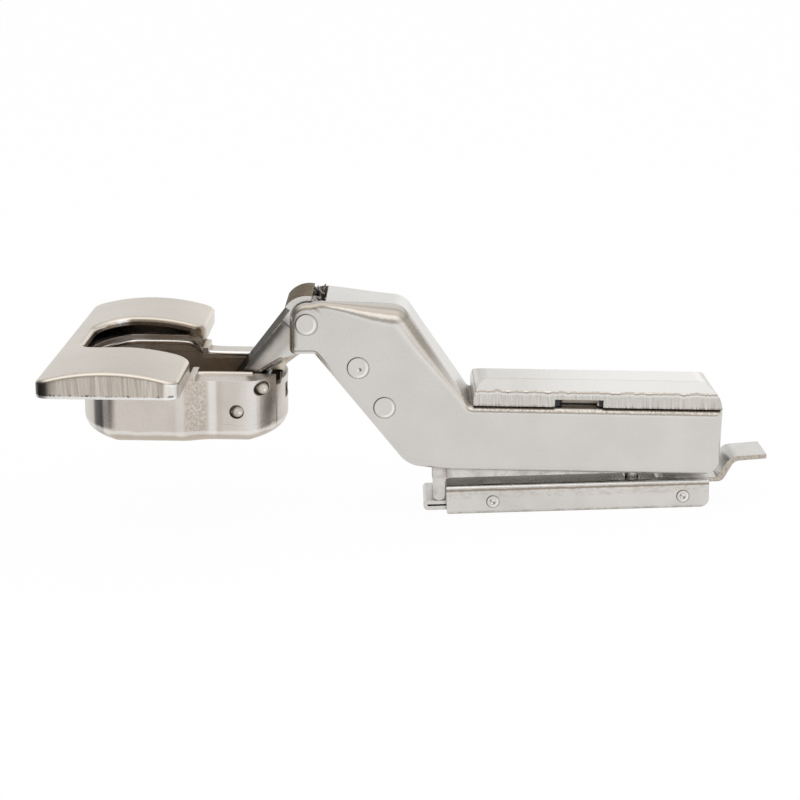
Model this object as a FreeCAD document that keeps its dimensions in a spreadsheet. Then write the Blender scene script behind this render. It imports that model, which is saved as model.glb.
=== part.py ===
import FreeCAD, Part
import math
import os
import Sketcher

# Concealed cup hinge with a fully cranked arm, for an inset door, shown open.
# Frame: +X along the arm towards its rear, +Y across the hinge, +Z away from the cabinet wall.
# The origin lies midway between the two clip pins, on the plane that the clip channel rests on.
# All lengths are millimetres and all angles are degrees.

SIZES = {
    # clip channel, its pins, front hook and release lever
    "clip_front": 24.4,            # channel's front end, ahead of the origin
    "clip_rear": 20.9,             # channel's rear end, behind the origin
    "clip_width": 12.0,
    "clip_height": 5.0,
    "clip_wall": 0.9,
    "clip_corner": 1.5,
    "clip_pin_pitch": 32.8,
    "clip_pin_diameter": 2.2,
    "clip_pin_height": 2.0,
    "clip_pin_dome": 0.35,
    "hook_reach": 4.0,             # tongue, ahead of the channel
    "hook_inside": 5.3,            # tongue, inside the channel
    "hook_height": 1.7,
    "hook_sheet": 0.7,
    "hook_lift": 0.5,
    "lever_width": 7.6,
    "lever_sheet": 0.8,
    "lever_root_height": 4.2,
    "lever_nose": 3.0,             # blade, ahead of the rear pin
    "lever_root": 6.7,             # blade, behind the rear pin, to its bend
    "lever_rise": 3.6,
    "lever_slant": 2.1,            # length over which the blade rises
    "lever_blade": 5.9,            # raised end of the blade
    "lever_tip_rise": 0.3,
    "lever_ear": 2.4,
    "lever_spring_wire": 0.3,
    # adjuster plate inside the arm, with the screws for side and depth
    "adjuster_gap": 0.3,           # to each side wall of the arm
    "adjuster_sheet": 1.0,
    "adjuster_top": 9.6,
    "adjuster_skirt": 3.0,
    "adjuster_front": 26.7,
    "adjuster_rear": 20.0,
    "adjuster_lobe": 2.1,
    "adjuster_lobe_drop": 4.1,
    "adjuster_lobe_inset": 0.35,
    "tilt_pin_x": 17.0,
    "tilt_pin_z": 8.1,
    "tilt_pin_diameter": 2.0,
    "arm_tilt": 2.75,
    "side_screw_at": 33.0,         # ahead of the tilt pin, along the arm
    "side_screw_diameter": 5.0,
    "side_screw_neck": 2.6,
    "side_screw_top": 10.6,
    "cam_x": 8.0,
    "cam_diameter": 7.0,
    "cam_offset": 2.4,
    "cam_travel": 2.0,
    "cam_tip_diameter": 2.4,
    # arm, seen from the tilt pin: along the rear part and above it
    "arm_width": 15.2,
    "arm_wall": 1.2,
    "arm_rear": 5.5,
    "arm_base": 1.9,               # lower edge, below the tilt pin
    "arm_deck": 9.8,               # top of the rear part
    "arm_crank_foot": 37.5,        # where the crank leaves the deck
    "arm_bend_at": 48.9,
    "arm_bend_height": 26.4,
    "arm_head_at": 62.9,
    "arm_head_rise": 1.0,          # of the head's top, above the bend
    "arm_nose": 68.2,
    "arm_ear": 3.6,                # edge above the front rivet
    "arm_chin": 9.35,              # below the head's top
    "arm_throat": 64.0,
    "arm_heel_at": 47.9,
    "arm_shoulder": 3.4,           # large edge radius at the outer bend
    "rivet_diameter": 3.75,
    "rivet_shaft": 3.2,
    "rivet_front_at": 65.35,
    "rivet_front_drop": 4.0,       # below the head's top
    "rivet_middle_at": 56.6,
    "rivet_middle_height": 16.1,
    "rivet_rear_at": 52.05,
    "rivet_rear_height": 9.25,
    "sleeve_diameter": 4.6,
    # cap over the rear part, with the clip that holds it
    "cap_front": 37.0,
    "cap_rear": 5.1,
    "cap_inset": 0.1,              # of its walls, from the arm's
    "cap_sheet": 0.6,
    "cap_side": 2.7,
    "cap_height": 3.9,
    "cap_flat": 6.8,
    "cap_front_round": 2.6,
    "cap_rear_round": 3.6,
    "notch_at": 19.1,
    "notch_length": 8.2,
    "notch_height": 1.3,
    "cap_clip_length": 12.0,
    # cup, seen from its centre on the door's face
    "cup_x": 68.5,
    "cup_tilt": 2.6,
    "door_plane": 27.9,
    "cup_diameter": 35.0,
    "cup_depth": 11.7,
    "cup_wall": 0.9,
    "cup_foot_radius": 2.6,
    "cup_corner": 2.2,             # radius of its upright corners
    "cup_front": 27.4,             # across the flats of its front half
    "cup_waist": 24.8,             # across the flats of its rear half
    "cup_flat_from": 5.0,
    "cup_step": 3.4,               # length over which the sides step in
    "cup_step_round": 5.0,
    "cup_mouth": 24.6,             # width of its opening in the flange
    "ledge_drop": 1.0,
    "lane_gap": 1.3,               # from the outer link to each ledge
    "flange_sheet": 1.0,
    "screw_spacing": 45.0,
    "screw_offset": 9.5,
    "screw_hole": 4.2,
    "link_pin_diameter": 2.2,
    "pin_upper_x": 13.73,
    "pin_upper_depth": 2.58,
    "pin_lower_x": 9.69,
    "pin_lower_depth": 6.27,
    # cover over the flange
    "cover_end": 6.5,              # beyond each screw
    "cover_shift": 0.3,            # of its middle, from the screws towards the arm
    "cover_width": 22.6,
    "cover_height": 4.4,
    "cover_crown": 1.8,
    "cover_sheet": 0.6,
    "cover_corner": 2.2,
    "cover_edge": 0.8,
    "cover_lift": 0.1,
    "cover_lip": 1.4,              # height of the edge round the mouth
    "mouth_width": 22.0,
    "mouth_depth": 18.7,
    # links and their spring
    "link_gap": 0.7,               # from the arm's wall to the outer link
    "outer_link_sheet": 1.0,
    "outer_link_hub": 3.5,
    "outer_link_eye": 2.9,
    "curl_radius": 4.5,
    "inner_link_sheet": 1.2,
    "inner_link_hub": 3.3,
    "pin_wander": 2.6,             # of the upper pin, along its open seat in this link
    "pin_rise": 0.35,
    "spring_radius": 2.6,
    "spring_wire": 0.75,
    "spring_turns": 6.0,
    # clearances
    "pin_play": 0.03,
    "side_play": 0.2,
    "screw_swing": 0.65,
}

doc = FreeCAD.newDocument("cranked_hinge")
sheet = doc.addObject("Spreadsheet::Sheet", "Sizes")
for row, (name, number) in enumerate(SIZES.items(), start=1):
    sheet.set(f"A{row}", name)
    sheet.set(f"B{row}", str(number))
    sheet.setAlias(f"B{row}", name)
doc.recompute()


class Size:
    """A number together with the sheet expression that gives it."""

    def __init__(self, value, text):
        self.value = float(value)
        self.text = text

    def joined(self, other, sign, value):
        return Size(value, f"({self.text} {sign} {other.text})")

    def __add__(self, other):
        other = sized(other)
        return self.joined(other, "+", self.value + other.value)

    def __sub__(self, other):
        other = sized(other)
        return self.joined(other, "-", self.value - other.value)

    def __mul__(self, other):
        other = sized(other)
        return self.joined(other, "*", self.value * other.value)

    def __truediv__(self, other):
        other = sized(other)
        return self.joined(other, "/", self.value / other.value)

    def __radd__(self, other):
        return sized(other) + self

    def __rsub__(self, other):
        return sized(other) - self

    def __rmul__(self, other):
        return sized(other) * self

    def __neg__(self):
        return Size(-self.value, f"(0 - {self.text})")

    def __float__(self):
        return self.value


def sized(number):
    if isinstance(number, Size):
        return number
    return Size(number, f"({float(number)!r})")


def cell(name):
    return Size(sheet.get(name), f"Sizes.{name}")


def sine(angle):
    return Size(math.sin(math.radians(angle.value)), f"sin({angle.text} * 1 deg)")


def cosine(angle):
    return Size(math.cos(math.radians(angle.value)), f"cos({angle.text} * 1 deg)")


def bind(thing, setting, amount):
    thing.setExpression(setting, sized(amount).text)


def move(thing, x=0, y=0, z=0):
    bind(thing, "Placement.Base.x", x)
    bind(thing, "Placement.Base.y", y)
    bind(thing, "Placement.Base.z", z)
    return thing


ALONG_Y = FreeCAD.Rotation(FreeCAD.Vector(1, 0, 0), -90)
UPRIGHT = FreeCAD.Rotation()


def rod(name, radius, length, x, y, z, turn=ALONG_Y):
    """Cylinder that starts at x, y, z and runs along +Y, or up where turn says so."""
    thing = doc.addObject("Part::Cylinder", name)
    bind(thing, "Radius", radius)
    bind(thing, "Height", length)
    thing.Placement.Rotation = turn
    return move(thing, x, y, z)


def cross_rod(name, radius, half, x, z):
    """Cylinder across the hinge, as far to one side as to the other."""
    return rod(name, radius, half * 2, x, -half, z)


def block(name, x, y, z):
    """Box between the pairs x, y and z of low and high sizes."""
    thing = doc.addObject("Part::Box", name)
    bind(thing, "Length", x[1] - x[0])
    bind(thing, "Width", y[1] - y[0])
    bind(thing, "Height", z[1] - z[0])
    return move(thing, x[0], y[0], z[0])


def cut(name, base, *tools):
    for number, tool in enumerate(tools):
        thing = doc.addObject("Part::Cut", f"{name}_cut{number}")
        thing.Base = base
        thing.Tool = tool
        base = thing
    return base


def fuse(name, *things):
    thing = doc.addObject("Part::MultiFuse", name)
    thing.Shapes = list(things)
    thing.Refine = True
    return thing


def common(name, first, second):
    thing = doc.addObject("Part::Common", name)
    thing.Base = first
    thing.Tool = second
    return thing


def origin_plane(body, role):
    for feature in body.Origin.OriginFeatures:
        if feature.Role == role:
            return feature
    raise ValueError(role)


def rounded_corner(before, corner, after, radius):
    """Where a round of this radius starts and ends at a corner, its middle and its turn."""
    back = (before - corner).normalize()
    ahead = (after - corner).normalize()
    half = back.getAngle(ahead) / 2
    reach = radius / math.tan(half)
    inward = (back + ahead).normalize()
    middle = corner + inward * (radius / math.sin(half))
    turns_left = back.cross(ahead).z < 0
    return corner + back * reach, middle, corner + ahead * reach, turns_left


def round_arc(start, middle, end, turns_left):
    """Arc drawn anticlockwise, as sketches keep them."""
    first, last = (start, end) if turns_left else (end, start)
    low = math.atan2(first.y - middle.y, first.x - middle.x)
    high = math.atan2(last.y - middle.y, last.x - middle.x)
    if high < low:
        high = high + 2 * math.pi
    circle = Part.Circle(middle, FreeCAD.Vector(0, 0, 1), (start - middle).Length)
    return Part.ArcOfCircle(circle, low, high)


def outline(body, name, role, corners):
    """Closed sketch through corners of (across, up) or (across, up, radius)."""
    sketch = body.newObject("Sketcher::SketchObject", name)
    sketch.AttachmentSupport = [(origin_plane(body, role), "")]
    sketch.MapMode = "FlatFace"
    points = []
    for corner in corners:
        points.append(FreeCAD.Vector(float(corner[0]), float(corner[1]), 0))
    count = len(corners)
    rounds = {}
    for index, corner in enumerate(corners):
        if len(corner) == 3:
            radius = float(corner[2])
            rounds[index] = rounded_corner(points[index - 1], points[index],
                                           points[(index + 1) % count], radius)
    lines = []
    for index in range(count):
        after = (index + 1) % count
        start = rounds[index][2] if index in rounds else points[index]
        end = rounds[after][0] if after in rounds else points[after]
        lines.append(sketch.addGeometry(Part.LineSegment(start, end), False))
    fixed = []
    for index, corner in enumerate(corners):
        if index in rounds:
            arc = sketch.addGeometry(round_arc(*rounds[index]), False)
            first, last = (1, 2) if rounds[index][3] else (2, 1)
            sketch.addConstraint(Sketcher.Constraint("Tangent", lines[index - 1], 2, arc, first))
            sketch.addConstraint(Sketcher.Constraint("Tangent", arc, last, lines[index], 1))
            fixed.append((Sketcher.Constraint("Radius", arc, float(corner[2])), corner[2]))
            spot = sketch.addGeometry(Part.Point(points[index]), True)
            sketch.addConstraint(Sketcher.Constraint("PointOnObject", spot, 1, lines[index - 1]))
            sketch.addConstraint(Sketcher.Constraint("PointOnObject", spot, 1, lines[index]))
            held = (spot, 1)
        else:
            sketch.addConstraint(Sketcher.Constraint("Coincident", lines[index - 1], 2,
                                                     lines[index], 1))
            held = (lines[index], 1)
        across = Sketcher.Constraint("DistanceX", -1, 1, held[0], held[1], points[index].x)
        up = Sketcher.Constraint("DistanceY", -1, 1, held[0], held[1], points[index].y)
        fixed.append((across, corner[0]))
        fixed.append((up, corner[1]))
    for constraint, amount in fixed:
        number = sketch.addConstraint(constraint)
        sketch.setExpression(f"Constraints[{number}]", sized(amount).text)
    return sketch


def slab(name, role, corners, length):
    """Body with one pad of the outline, as thick to one side of the plane as to the other."""
    body = doc.addObject("PartDesign::Body", name)
    sketch = outline(body, name + "_outline", role, corners)
    pad = body.newObject("PartDesign::Pad", name + "_pad")
    pad.Profile = sketch
    pad.Midplane = True
    bind(pad, "Length", length)
    sketch.Visibility = False
    return body


def side_slab(name, corners, width):
    """Side view outline in X and Z, padded to both sides of the middle plane."""
    return slab(name, "XZ_Plane", corners, width)


def rounded_edges(name, base, picks):
    """Part::Fillet over the edges that each pick names, with its start and end radius."""
    doc.recompute()
    thing = doc.addObject("Part::Fillet", name)
    thing.Base = base
    rows = []
    for number, edge in enumerate(base.Shape.Edges, start=1):
        middle = edge.valueAt((edge.FirstParameter + edge.LastParameter) / 2)
        low, high = edge.valueAt(edge.FirstParameter), edge.valueAt(edge.LastParameter)
        for chosen, radius in picks:
            if chosen(low, middle, high):
                start, end = radius(low), radius(high)
                rows.append((number, start, end))
                break
    if not rows:
        states = [(one.Name, one.State) for one in doc.Objects if "Invalid" in one.State]
        raise ValueError(f"{name} rounds no edge of {len(base.Shape.Edges)}: {states}")
    thing.Edges = rows
    return thing


def name_part(thing, label):
    thing.Label = label
    PARTS.append(thing)
    return thing


PARTS = []

clip_front = cell("clip_front")
clip_rear = cell("clip_rear")
clip_half = cell("clip_width") / 2
clip_height = cell("clip_height")
clip_wall = cell("clip_wall")
clip_inner = clip_half - clip_wall
pin_x = cell("clip_pin_pitch") / 2
pin_z = cell("clip_pin_height")
clip_pin_radius = cell("clip_pin_diameter") / 2
play = cell("pin_play")
side_play = cell("side_play")
lever_half = cell("lever_width") / 2
adjuster_sheet = cell("adjuster_sheet")
adjuster_top = cell("adjuster_top")
adjuster_web = adjuster_top - adjuster_sheet
tilt = cell("arm_tilt")
tilt_x = cell("tilt_pin_x")
tilt_z = cell("tilt_pin_z")
arm_half = cell("arm_width") / 2
arm_wall = cell("arm_wall")
arm_inner = arm_half - arm_wall
adjuster_half = arm_inner - cell("adjuster_gap")
outer_link_half = arm_inner - cell("link_gap")
inner_link_half = outer_link_half - cell("outer_link_sheet") - side_play
deck = cell("arm_deck")
cam_x = cell("cam_x")
cam_travel = cell("cam_travel")


def across(half):
    return (-half, half)


def on_arm(along, above):
    """Model place of a point given on the arm: behind the tilt pin and above it."""
    x = tilt_x + along * cosine(tilt) + above * sine(tilt)
    z = tilt_z - along * sine(tilt) + above * cosine(tilt)
    return x, z


def seat_on_arm(thing):
    """Places a piece that is modelled about the tilt pin at the arm's angle."""
    thing.Placement = FreeCAD.Placement(FreeCAD.Vector(0, 0, 0),
                                        FreeCAD.Rotation(FreeCAD.Vector(0, 1, 0), tilt.value))
    thing.setExpression("Placement.Rotation.Angle", f"{tilt.text} * 1 deg")
    return move(thing, tilt_x, 0, tilt_z)


def clip_channel():
    """Inverted U that clips on the mounting plate, open below and windowed on top."""
    corner = cell("clip_corner")
    shell = side_slab("clip_shell", [
        (-clip_front, 0, 0.4),
        (clip_rear, 0, corner),
        (clip_rear, clip_height),
        (-clip_front, clip_height)], clip_half * 2)
    rounded = rounded_edges("clip_rounded", shell, [
        (lambda low, mid, high: abs(mid.z - clip_height.value) < 1e-4 and abs(mid.x) < 5,
         lambda point: clip_wall.value)])
    inside = block("clip_inside", (-clip_front - 1, clip_rear + 1), across(clip_inner),
                   (sized(-1), clip_height - clip_wall))
    window = block("clip_window", (pin_x - cell("lever_nose") - 1.4, clip_rear + 1),
                   across(lever_half + side_play * 2), (sized(0), clip_height + 1))
    slot = block("clip_cam_slot",
                 (cam_x - cell("cam_tip_diameter") / 2 - side_play,
                  cam_x + cell("cam_tip_diameter") / 2 + side_play),
                 across(clip_inner - 0.6), (sized(0), clip_height + 1))
    front = cross_rod("clip_front_hole", clip_pin_radius + play, clip_half + 1, -pin_x, pin_z)
    rear = cross_rod("clip_rear_hole", clip_pin_radius + play, clip_half + 1, pin_x, pin_z)
    name_part(cut("clip", rounded, inside, window, slot, front, rear), "clip_channel")


def clip_pin(label, x):
    """Riveted pin with a low dome at each end."""
    shaft = cross_rod(label + "_shaft", clip_pin_radius, clip_half, x, pin_z)
    dome = cell("clip_pin_dome")
    ends = []
    for number, sign in enumerate((-1, 1)):
        ball = doc.addObject("Part::Sphere", f"{label}_dome{number}")
        bind(ball, "Radius", clip_pin_radius * 0.55)
        move(ball, x, sign * (clip_half + dome - clip_pin_radius * 0.55), pin_z)
        ends.append(ball)
    name_part(fuse(label + "_body", shaft, *ends), label)


def front_hook():
    """Tongue folded back on itself, held between the channel's walls."""
    low = cell("hook_lift")
    high = low + cell("hook_height")
    metal = cell("hook_sheet")
    nose = -clip_front - cell("hook_reach")
    tail = -clip_front + cell("hook_inside")
    fold = cell("hook_height") * 0.45
    body = side_slab("hook_fold", [
        (nose, low, fold),
        (tail, low),
        (tail, low + metal),
        (nose + metal, low + metal),
        (nose + metal, high - metal),
        (tail, high - metal),
        (tail, high),
        (nose, high, fold)], (clip_inner - 0.05) * 2)
    name_part(body, "front_hook")


def release_lever():
    """Bent blade that turns on the rear clip pin."""
    metal = cell("lever_sheet")
    low = cell("lever_root_height") - metal / 2
    high = low + metal
    rise = cell("lever_rise")
    ear = cell("lever_ear")
    nose = pin_x - cell("lever_nose")
    bend = pin_x + cell("lever_root")
    step = bend + cell("lever_slant")
    tip = step + cell("lever_blade")
    tip_rise = rise + cell("lever_tip_rise")
    blade = side_slab("lever_blade_form", [
        (nose, low),
        (bend + metal / 2, low, 1.3),
        (step + metal / 2, low + rise, 1.6),
        (tip, low + tip_rise),
        (tip, high + tip_rise),
        (step - metal / 2, high + rise, 2.4),
        (bend - metal / 2, high, 0.5),
        (nose, high)], lever_half * 2)
    ear_low = pin_z - ear + 0.6
    ear_outer = side_slab("lever_ear_form", [
        (pin_x - ear, high - 0.05),
        (pin_x - ear, ear_low, 1.8),
        (pin_x + ear, ear_low, 1.8),
        (pin_x + ear, high - 0.05)], lever_half * 2)
    ear_gap = block("lever_ear_gap", (pin_x - ear * 2, pin_x + ear * 2),
                    across(lever_half - metal), (ear_low - 1, low))
    eye = cross_rod("lever_eye", clip_pin_radius + play, lever_half + 1, pin_x, pin_z)
    ears = cut("lever_ears", ear_outer, ear_gap)
    both = fuse("lever_both", blade, ears)
    name_part(cut("lever", both, eye), "release_lever")


def coil(label, x, z, radius, wire, turns, half, legs, turn):
    """Torsion coil across the hinge; legs are (end, length), each straight on from its end."""
    pitch = (2 * half - wire) / turns
    helix = Part.makeHelix(pitch, pitch * turns, radius)
    start = FreeCAD.Vector(radius, 0, 0)
    round_wire = Part.Wire(Part.makeCircle(wire / 2, start, FreeCAD.Vector(0, 1, 0)))
    swept = Part.Wire(helix.Edges).makePipeShell([round_wire], True, True)
    pieces = []
    for end, length in legs:
        foot = FreeCAD.Vector(radius, 0, pitch * turns * end)
        pieces.append(Part.makeCylinder(wire / 2, length, foot, FreeCAD.Vector(0, 2 * end - 1, 0)))
    spring = doc.addObject("Part::Feature", label)
    spring.Shape = swept.fuse(pieces) if pieces else swept
    start = FreeCAD.Vector(x, -pitch * turns / 2, z)
    aim = FreeCAD.Rotation(FreeCAD.Vector(0, 1, 0), turn) * ALONG_Y
    spring.Placement = FreeCAD.Placement(start, aim)
    name_part(spring, label)


def lever_spring():
    """Coil on the rear clip pin, between the lever's ears."""
    wire = cell("lever_spring_wire").value
    radius = clip_pin_radius.value + play.value * 2 + wire / 2
    half = lever_half.value - cell("lever_sheet").value - side_play.value
    coil("lever_spring", pin_x.value, pin_z.value, radius, wire, 6, half, [], 0)


def adjuster_plate():
    """Inner channel that slides for depth and carries the arm on its cross pin."""
    top = adjuster_top
    skirt = top - cell("adjuster_skirt")
    front = -cell("adjuster_front")
    lobe_rear = front + cell("adjuster_lobe")
    foot = skirt - cell("adjuster_lobe_drop")
    shell = side_slab("adjuster_form", [
        (front, foot, 0.9),
        (lobe_rear, foot, 0.9),
        (lobe_rear, skirt, 1.0),
        (cell("adjuster_rear"), skirt, 1.0),
        (cell("adjuster_rear"), top),
        (front, top, 2.0)], adjuster_half * 2)
    inside = block("adjuster_inside", (front - 1, cell("adjuster_rear") + 1),
                   across(adjuster_half - adjuster_sheet), (foot - 1, adjuster_web))
    pin_hole = cross_rod("adjuster_pin_hole", cell("tilt_pin_diameter") / 2 + play,
                         adjuster_half + 1, tilt_x, tilt_z)
    screw_x, screw_z = on_arm(-cell("side_screw_at"), sized(0))
    keyhole = rod("adjuster_screw_hole", cell("side_screw_neck") / 2 + side_play * 2,
                  adjuster_sheet * 4, screw_x, 0, adjuster_web - 1, UPRIGHT)
    cam_hole = rod("adjuster_cam_hole", cell("cam_diameter") / 2 - 1 + play, adjuster_sheet * 4,
                   cam_x, 0, adjuster_web - 1, UPRIGHT)
    insets = []
    for number, sign in enumerate((-1, 1)):
        edge = adjuster_half - cell("adjuster_lobe_inset")
        sides = (-adjuster_half - 1, -edge) if sign < 0 else (edge, adjuster_half + 1)
        insets.append(block(f"adjuster_inset{number}", (front - 1, lobe_rear + 0.4), sides,
                            (foot - 1, adjuster_web - 0.4)))
    name_part(cut("adjuster", shell, inside, pin_hole, keyhole, cam_hole, *insets),
              "adjuster_plate")


def tilt_pin():
    """Cross pin of the side adjustment; its ends sit in blind seats of the arm."""
    name_part(cross_rod("tilt_pin_rod", cell("tilt_pin_diameter") / 2, arm_inner + 0.5,
                        tilt_x, tilt_z), "tilt_pin")


def side_screw():
    """Headless screw with a waist that the adjuster plate holds."""
    at = -cell("side_screw_at")
    neck = cell("side_screw_neck") / 2
    shank = cell("side_screw_diameter") / 2
    low = adjuster_web - tilt_z + at * sine(tilt) - 0.6
    collar = rod("screw_collar", shank - 0.4, sized(1.0), at, 0, low - 1.0, UPRIGHT)
    waist = rod("screw_waist", neck, adjuster_sheet + 1.1, at, 0, low - 0.1, UPRIGHT)
    shaft_low = low + adjuster_sheet + 0.9
    shaft = rod("screw_shaft", shank, cell("side_screw_top") - shaft_low, at, 0, shaft_low,
                UPRIGHT)
    whole = fuse("screw_whole", collar, waist, shaft)
    slot_one = block("screw_slot_one", (at - shank * 0.75, at + shank * 0.75), across(sized(0.45)),
                     (cell("side_screw_top") - 1.2, cell("side_screw_top") + 1))
    slot_two = block("screw_slot_two", (at - 0.45, at + 0.45), across(shank * 0.75),
                     (cell("side_screw_top") - 1.2, cell("side_screw_top") + 1))
    name_part(seat_on_arm(cut("screw", whole, slot_one, slot_two)), "side_screw")


def depth_cam():
    """Eccentric screw: its head turns on the adjuster plate, its tip moves in the slot below."""
    radius = cell("cam_diameter") / 2
    head = rod("cam_head", radius, sized(1.6), cam_x, 0, adjuster_top + 0.05, UPRIGHT)
    journal = rod("cam_journal", radius - 1, adjuster_sheet + 0.5, cam_x, 0, adjuster_web - 0.3,
                  UPRIGHT)
    foot = rod("cam_foot", radius + 0.2, sized(0.9), cam_x, 0, adjuster_web - 1.0, UPRIGHT)
    tip = rod("cam_tip", cell("cam_tip_diameter") / 2, adjuster_web - clip_height + clip_wall,
              cam_x, -cell("cam_offset"), clip_height - clip_wall, UPRIGHT)
    whole = fuse("cam_whole", head, journal, foot, tip)
    top = adjuster_top + 1.65
    slots = [block("cam_slot_one", (cam_x - 2.2, cam_x + 2.2), across(sized(0.4)),
                   (top - 1, top + 1)),
             block("cam_slot_two", (cam_x - 0.4, cam_x + 0.4), across(sized(2.2)),
                   (top - 1, top + 1))]
    name_part(cut("cam", whole, *slots), "depth_cam")


clip_channel()
clip_pin("clip_pin_front", -pin_x)
clip_pin("clip_pin_rear", pin_x)
front_hook()
release_lever()
lever_spring()
adjuster_plate()
tilt_pin()
side_screw()
depth_cam()

foot_at = -cell("arm_crank_foot")
bend_at = -cell("arm_bend_at")
bend_up = cell("arm_bend_height")
head_at = -cell("arm_head_at")
head_up = bend_up + cell("arm_head_rise")
nose_at = -cell("arm_nose")
arm_rear = cell("arm_rear")
arm_low = -cell("arm_base")
rivet_places = {
    "rivet_front": (-cell("rivet_front_at"), head_up - cell("rivet_front_drop")),
    "rivet_middle": (-cell("rivet_middle_at"), cell("rivet_middle_height")),
    "rivet_rear": (-cell("rivet_rear_at"), cell("rivet_rear_height")),
}


def shoulder_radius(least):
    """Edge radius of the arm, which grows from its head to the outer bend and falls again."""
    grown = cell("arm_shoulder").value - arm_wall.value + least

    def radius(point):
        if point.z < (deck.value + bend_up.value) / 2:
            return least
        if point.x < (head_at.value + bend_at.value) / 2:
            return least
        return grown
    return radius


def top_edge(half):
    def chosen(low, middle, high):
        on_side = abs(abs(low.y) - half) < 1e-4 and abs(abs(high.y) - half) < 1e-4
        flat = abs(low.y - high.y) < 1e-4
        deck_edge = middle.z > deck.value - 2.5 and middle.z < head_up.value + 1
        inside = middle.x > nose_at.value + 4.5 and middle.x < arm_rear.value + 0.9
        rising = middle.x > foot_at.value - 2 or middle.z > line_height(middle.x) - 2.6
        return on_side and flat and deck_edge and inside and rising
    return chosen


def line_height(x):
    """Height of the straight line from the crank's foot to its outer bend, and of the head."""
    if x < bend_at.value:
        return head_up.value - 1.5
    share = (x - bend_at.value) / (foot_at.value - bend_at.value)
    return bend_up.value + share * (deck.value - bend_up.value)


def hinge_arm():
    """One pressing: rear channel, steep crank and head, open below and at both ends."""
    chin = head_up - cell("arm_chin")
    ear = cell("arm_ear")
    throat = -cell("arm_throat")
    heel = -cell("arm_heel_at")
    front_at, front_up = rivet_places["rivet_front"]
    outer = side_slab("arm_outer", [
        (arm_rear, arm_low, 2.4),
        (arm_rear, deck),
        (foot_at, deck, 1.0),
        (bend_at, bend_up, 4.0),
        (head_at, head_up, 1.2),
        (front_at + 0.6, front_up + ear, 0.3),
        (nose_at, front_up + ear, 3.0),
        (nose_at, chin, 0.8),
        (throat, chin + 0.1, 0.6),
        (heel, arm_low + 0.7, 5.0),
        (heel + 7.5, arm_low, 6.0)], arm_half * 2)
    outer_rounded = rounded_edges("arm_outer_rounded", outer,
                                  [(top_edge(arm_half.value), shoulder_radius(1.5))])
    slope_x = foot_at - bend_at
    slope_z = bend_up - deck
    run = sized(math.hypot(slope_x.value, slope_z.value))
    lean_x = arm_wall * slope_z / run
    lean_z = arm_wall * slope_x / run
    inner = side_slab("arm_inner", [
        (arm_rear + 1, arm_low - 3),
        (arm_rear + 1, deck - arm_wall),
        (foot_at - lean_x + 0.35, deck - arm_wall, 0.5),
        (bend_at - lean_x + 0.2, bend_up - arm_wall - 0.1, 3.0),
        (head_at, head_up - arm_wall),
        (nose_at - 2, head_up - arm_wall),
        (nose_at - 2, arm_low - 3)], arm_inner * 2)
    inner_rounded = rounded_edges("arm_inner_rounded", inner,
                                  [(top_edge(arm_inner.value), shoulder_radius(0.4))])
    holes = []
    for label, (along, above) in rivet_places.items():
        holes.append(cross_rod(label + "_hole", cell("rivet_diameter") / 2 + play, arm_half + 1,
                               along, above))
    seat = cross_rod("arm_tilt_seat", cell("tilt_pin_diameter") / 2 + play, arm_inner + 0.6,
                     sized(0), sized(0))
    screw = rod("arm_screw_hole", cell("side_screw_diameter") / 2 + cell("screw_swing"), sized(4),
                -cell("side_screw_at"), 0, deck - 3, UPRIGHT)
    cam_at = (cam_x - tilt_x).value / math.cos(math.radians(tilt.value))
    window = block("arm_cam_window", (sized(cam_at - 5.0), sized(cam_at + 4.6)),
                   across(sized(4.2)), (deck - 3, deck + 1))
    mouth = block("arm_head_mouth", (nose_at - 1, front_at + 3.2), across(arm_inner),
                  (chin - 4, head_up + 2))
    whole = cut("arm", outer_rounded, inner_rounded, *holes, seat, screw, window, mouth)
    name_part(seat_on_arm(whole), "hinge_arm")


def rivet(label):
    """Shouldered rivet, its heads flush with the arm's side walls."""
    along, above = rivet_places[label]
    shaft = cross_rod(label + "_shaft", cell("rivet_shaft") / 2, arm_half - 0.2, along, above)
    left = rod(label + "_left", cell("rivet_diameter") / 2, arm_wall, along, -arm_half, above)
    right = rod(label + "_right", cell("rivet_diameter") / 2, arm_wall, along, arm_inner, above)
    name_part(seat_on_arm(fuse(label + "_body", shaft, left, right)), label)


def ring_pair(label, along, above, outer, bore, near, far):
    """Two rings, one each side of the middle, between the distances near and far."""
    rings = []
    for number, (low, high) in enumerate(((-far, -near), (near, far))):
        ring = rod(f"{label}_ring{number}", outer, high - low, along, low, above)
        hole = rod(f"{label}_bore{number}", bore, high - low + 2, along, low - 1, above)
        rings.append(cut(f"{label}_one{number}", ring, hole))
    name_part(seat_on_arm(fuse(label + "_pair", *rings)), label)


def spacer_sleeve():
    along, above = rivet_places["rivet_rear"]
    length = arm_inner - side_play
    tube = cross_rod("sleeve_tube", cell("sleeve_diameter") / 2, length, along, above)
    bore = cross_rod("sleeve_bore", cell("rivet_shaft") / 2 + play, arm_inner, along, above)
    name_part(seat_on_arm(cut("sleeve", tube, bore)), "spacer_sleeve")


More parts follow.
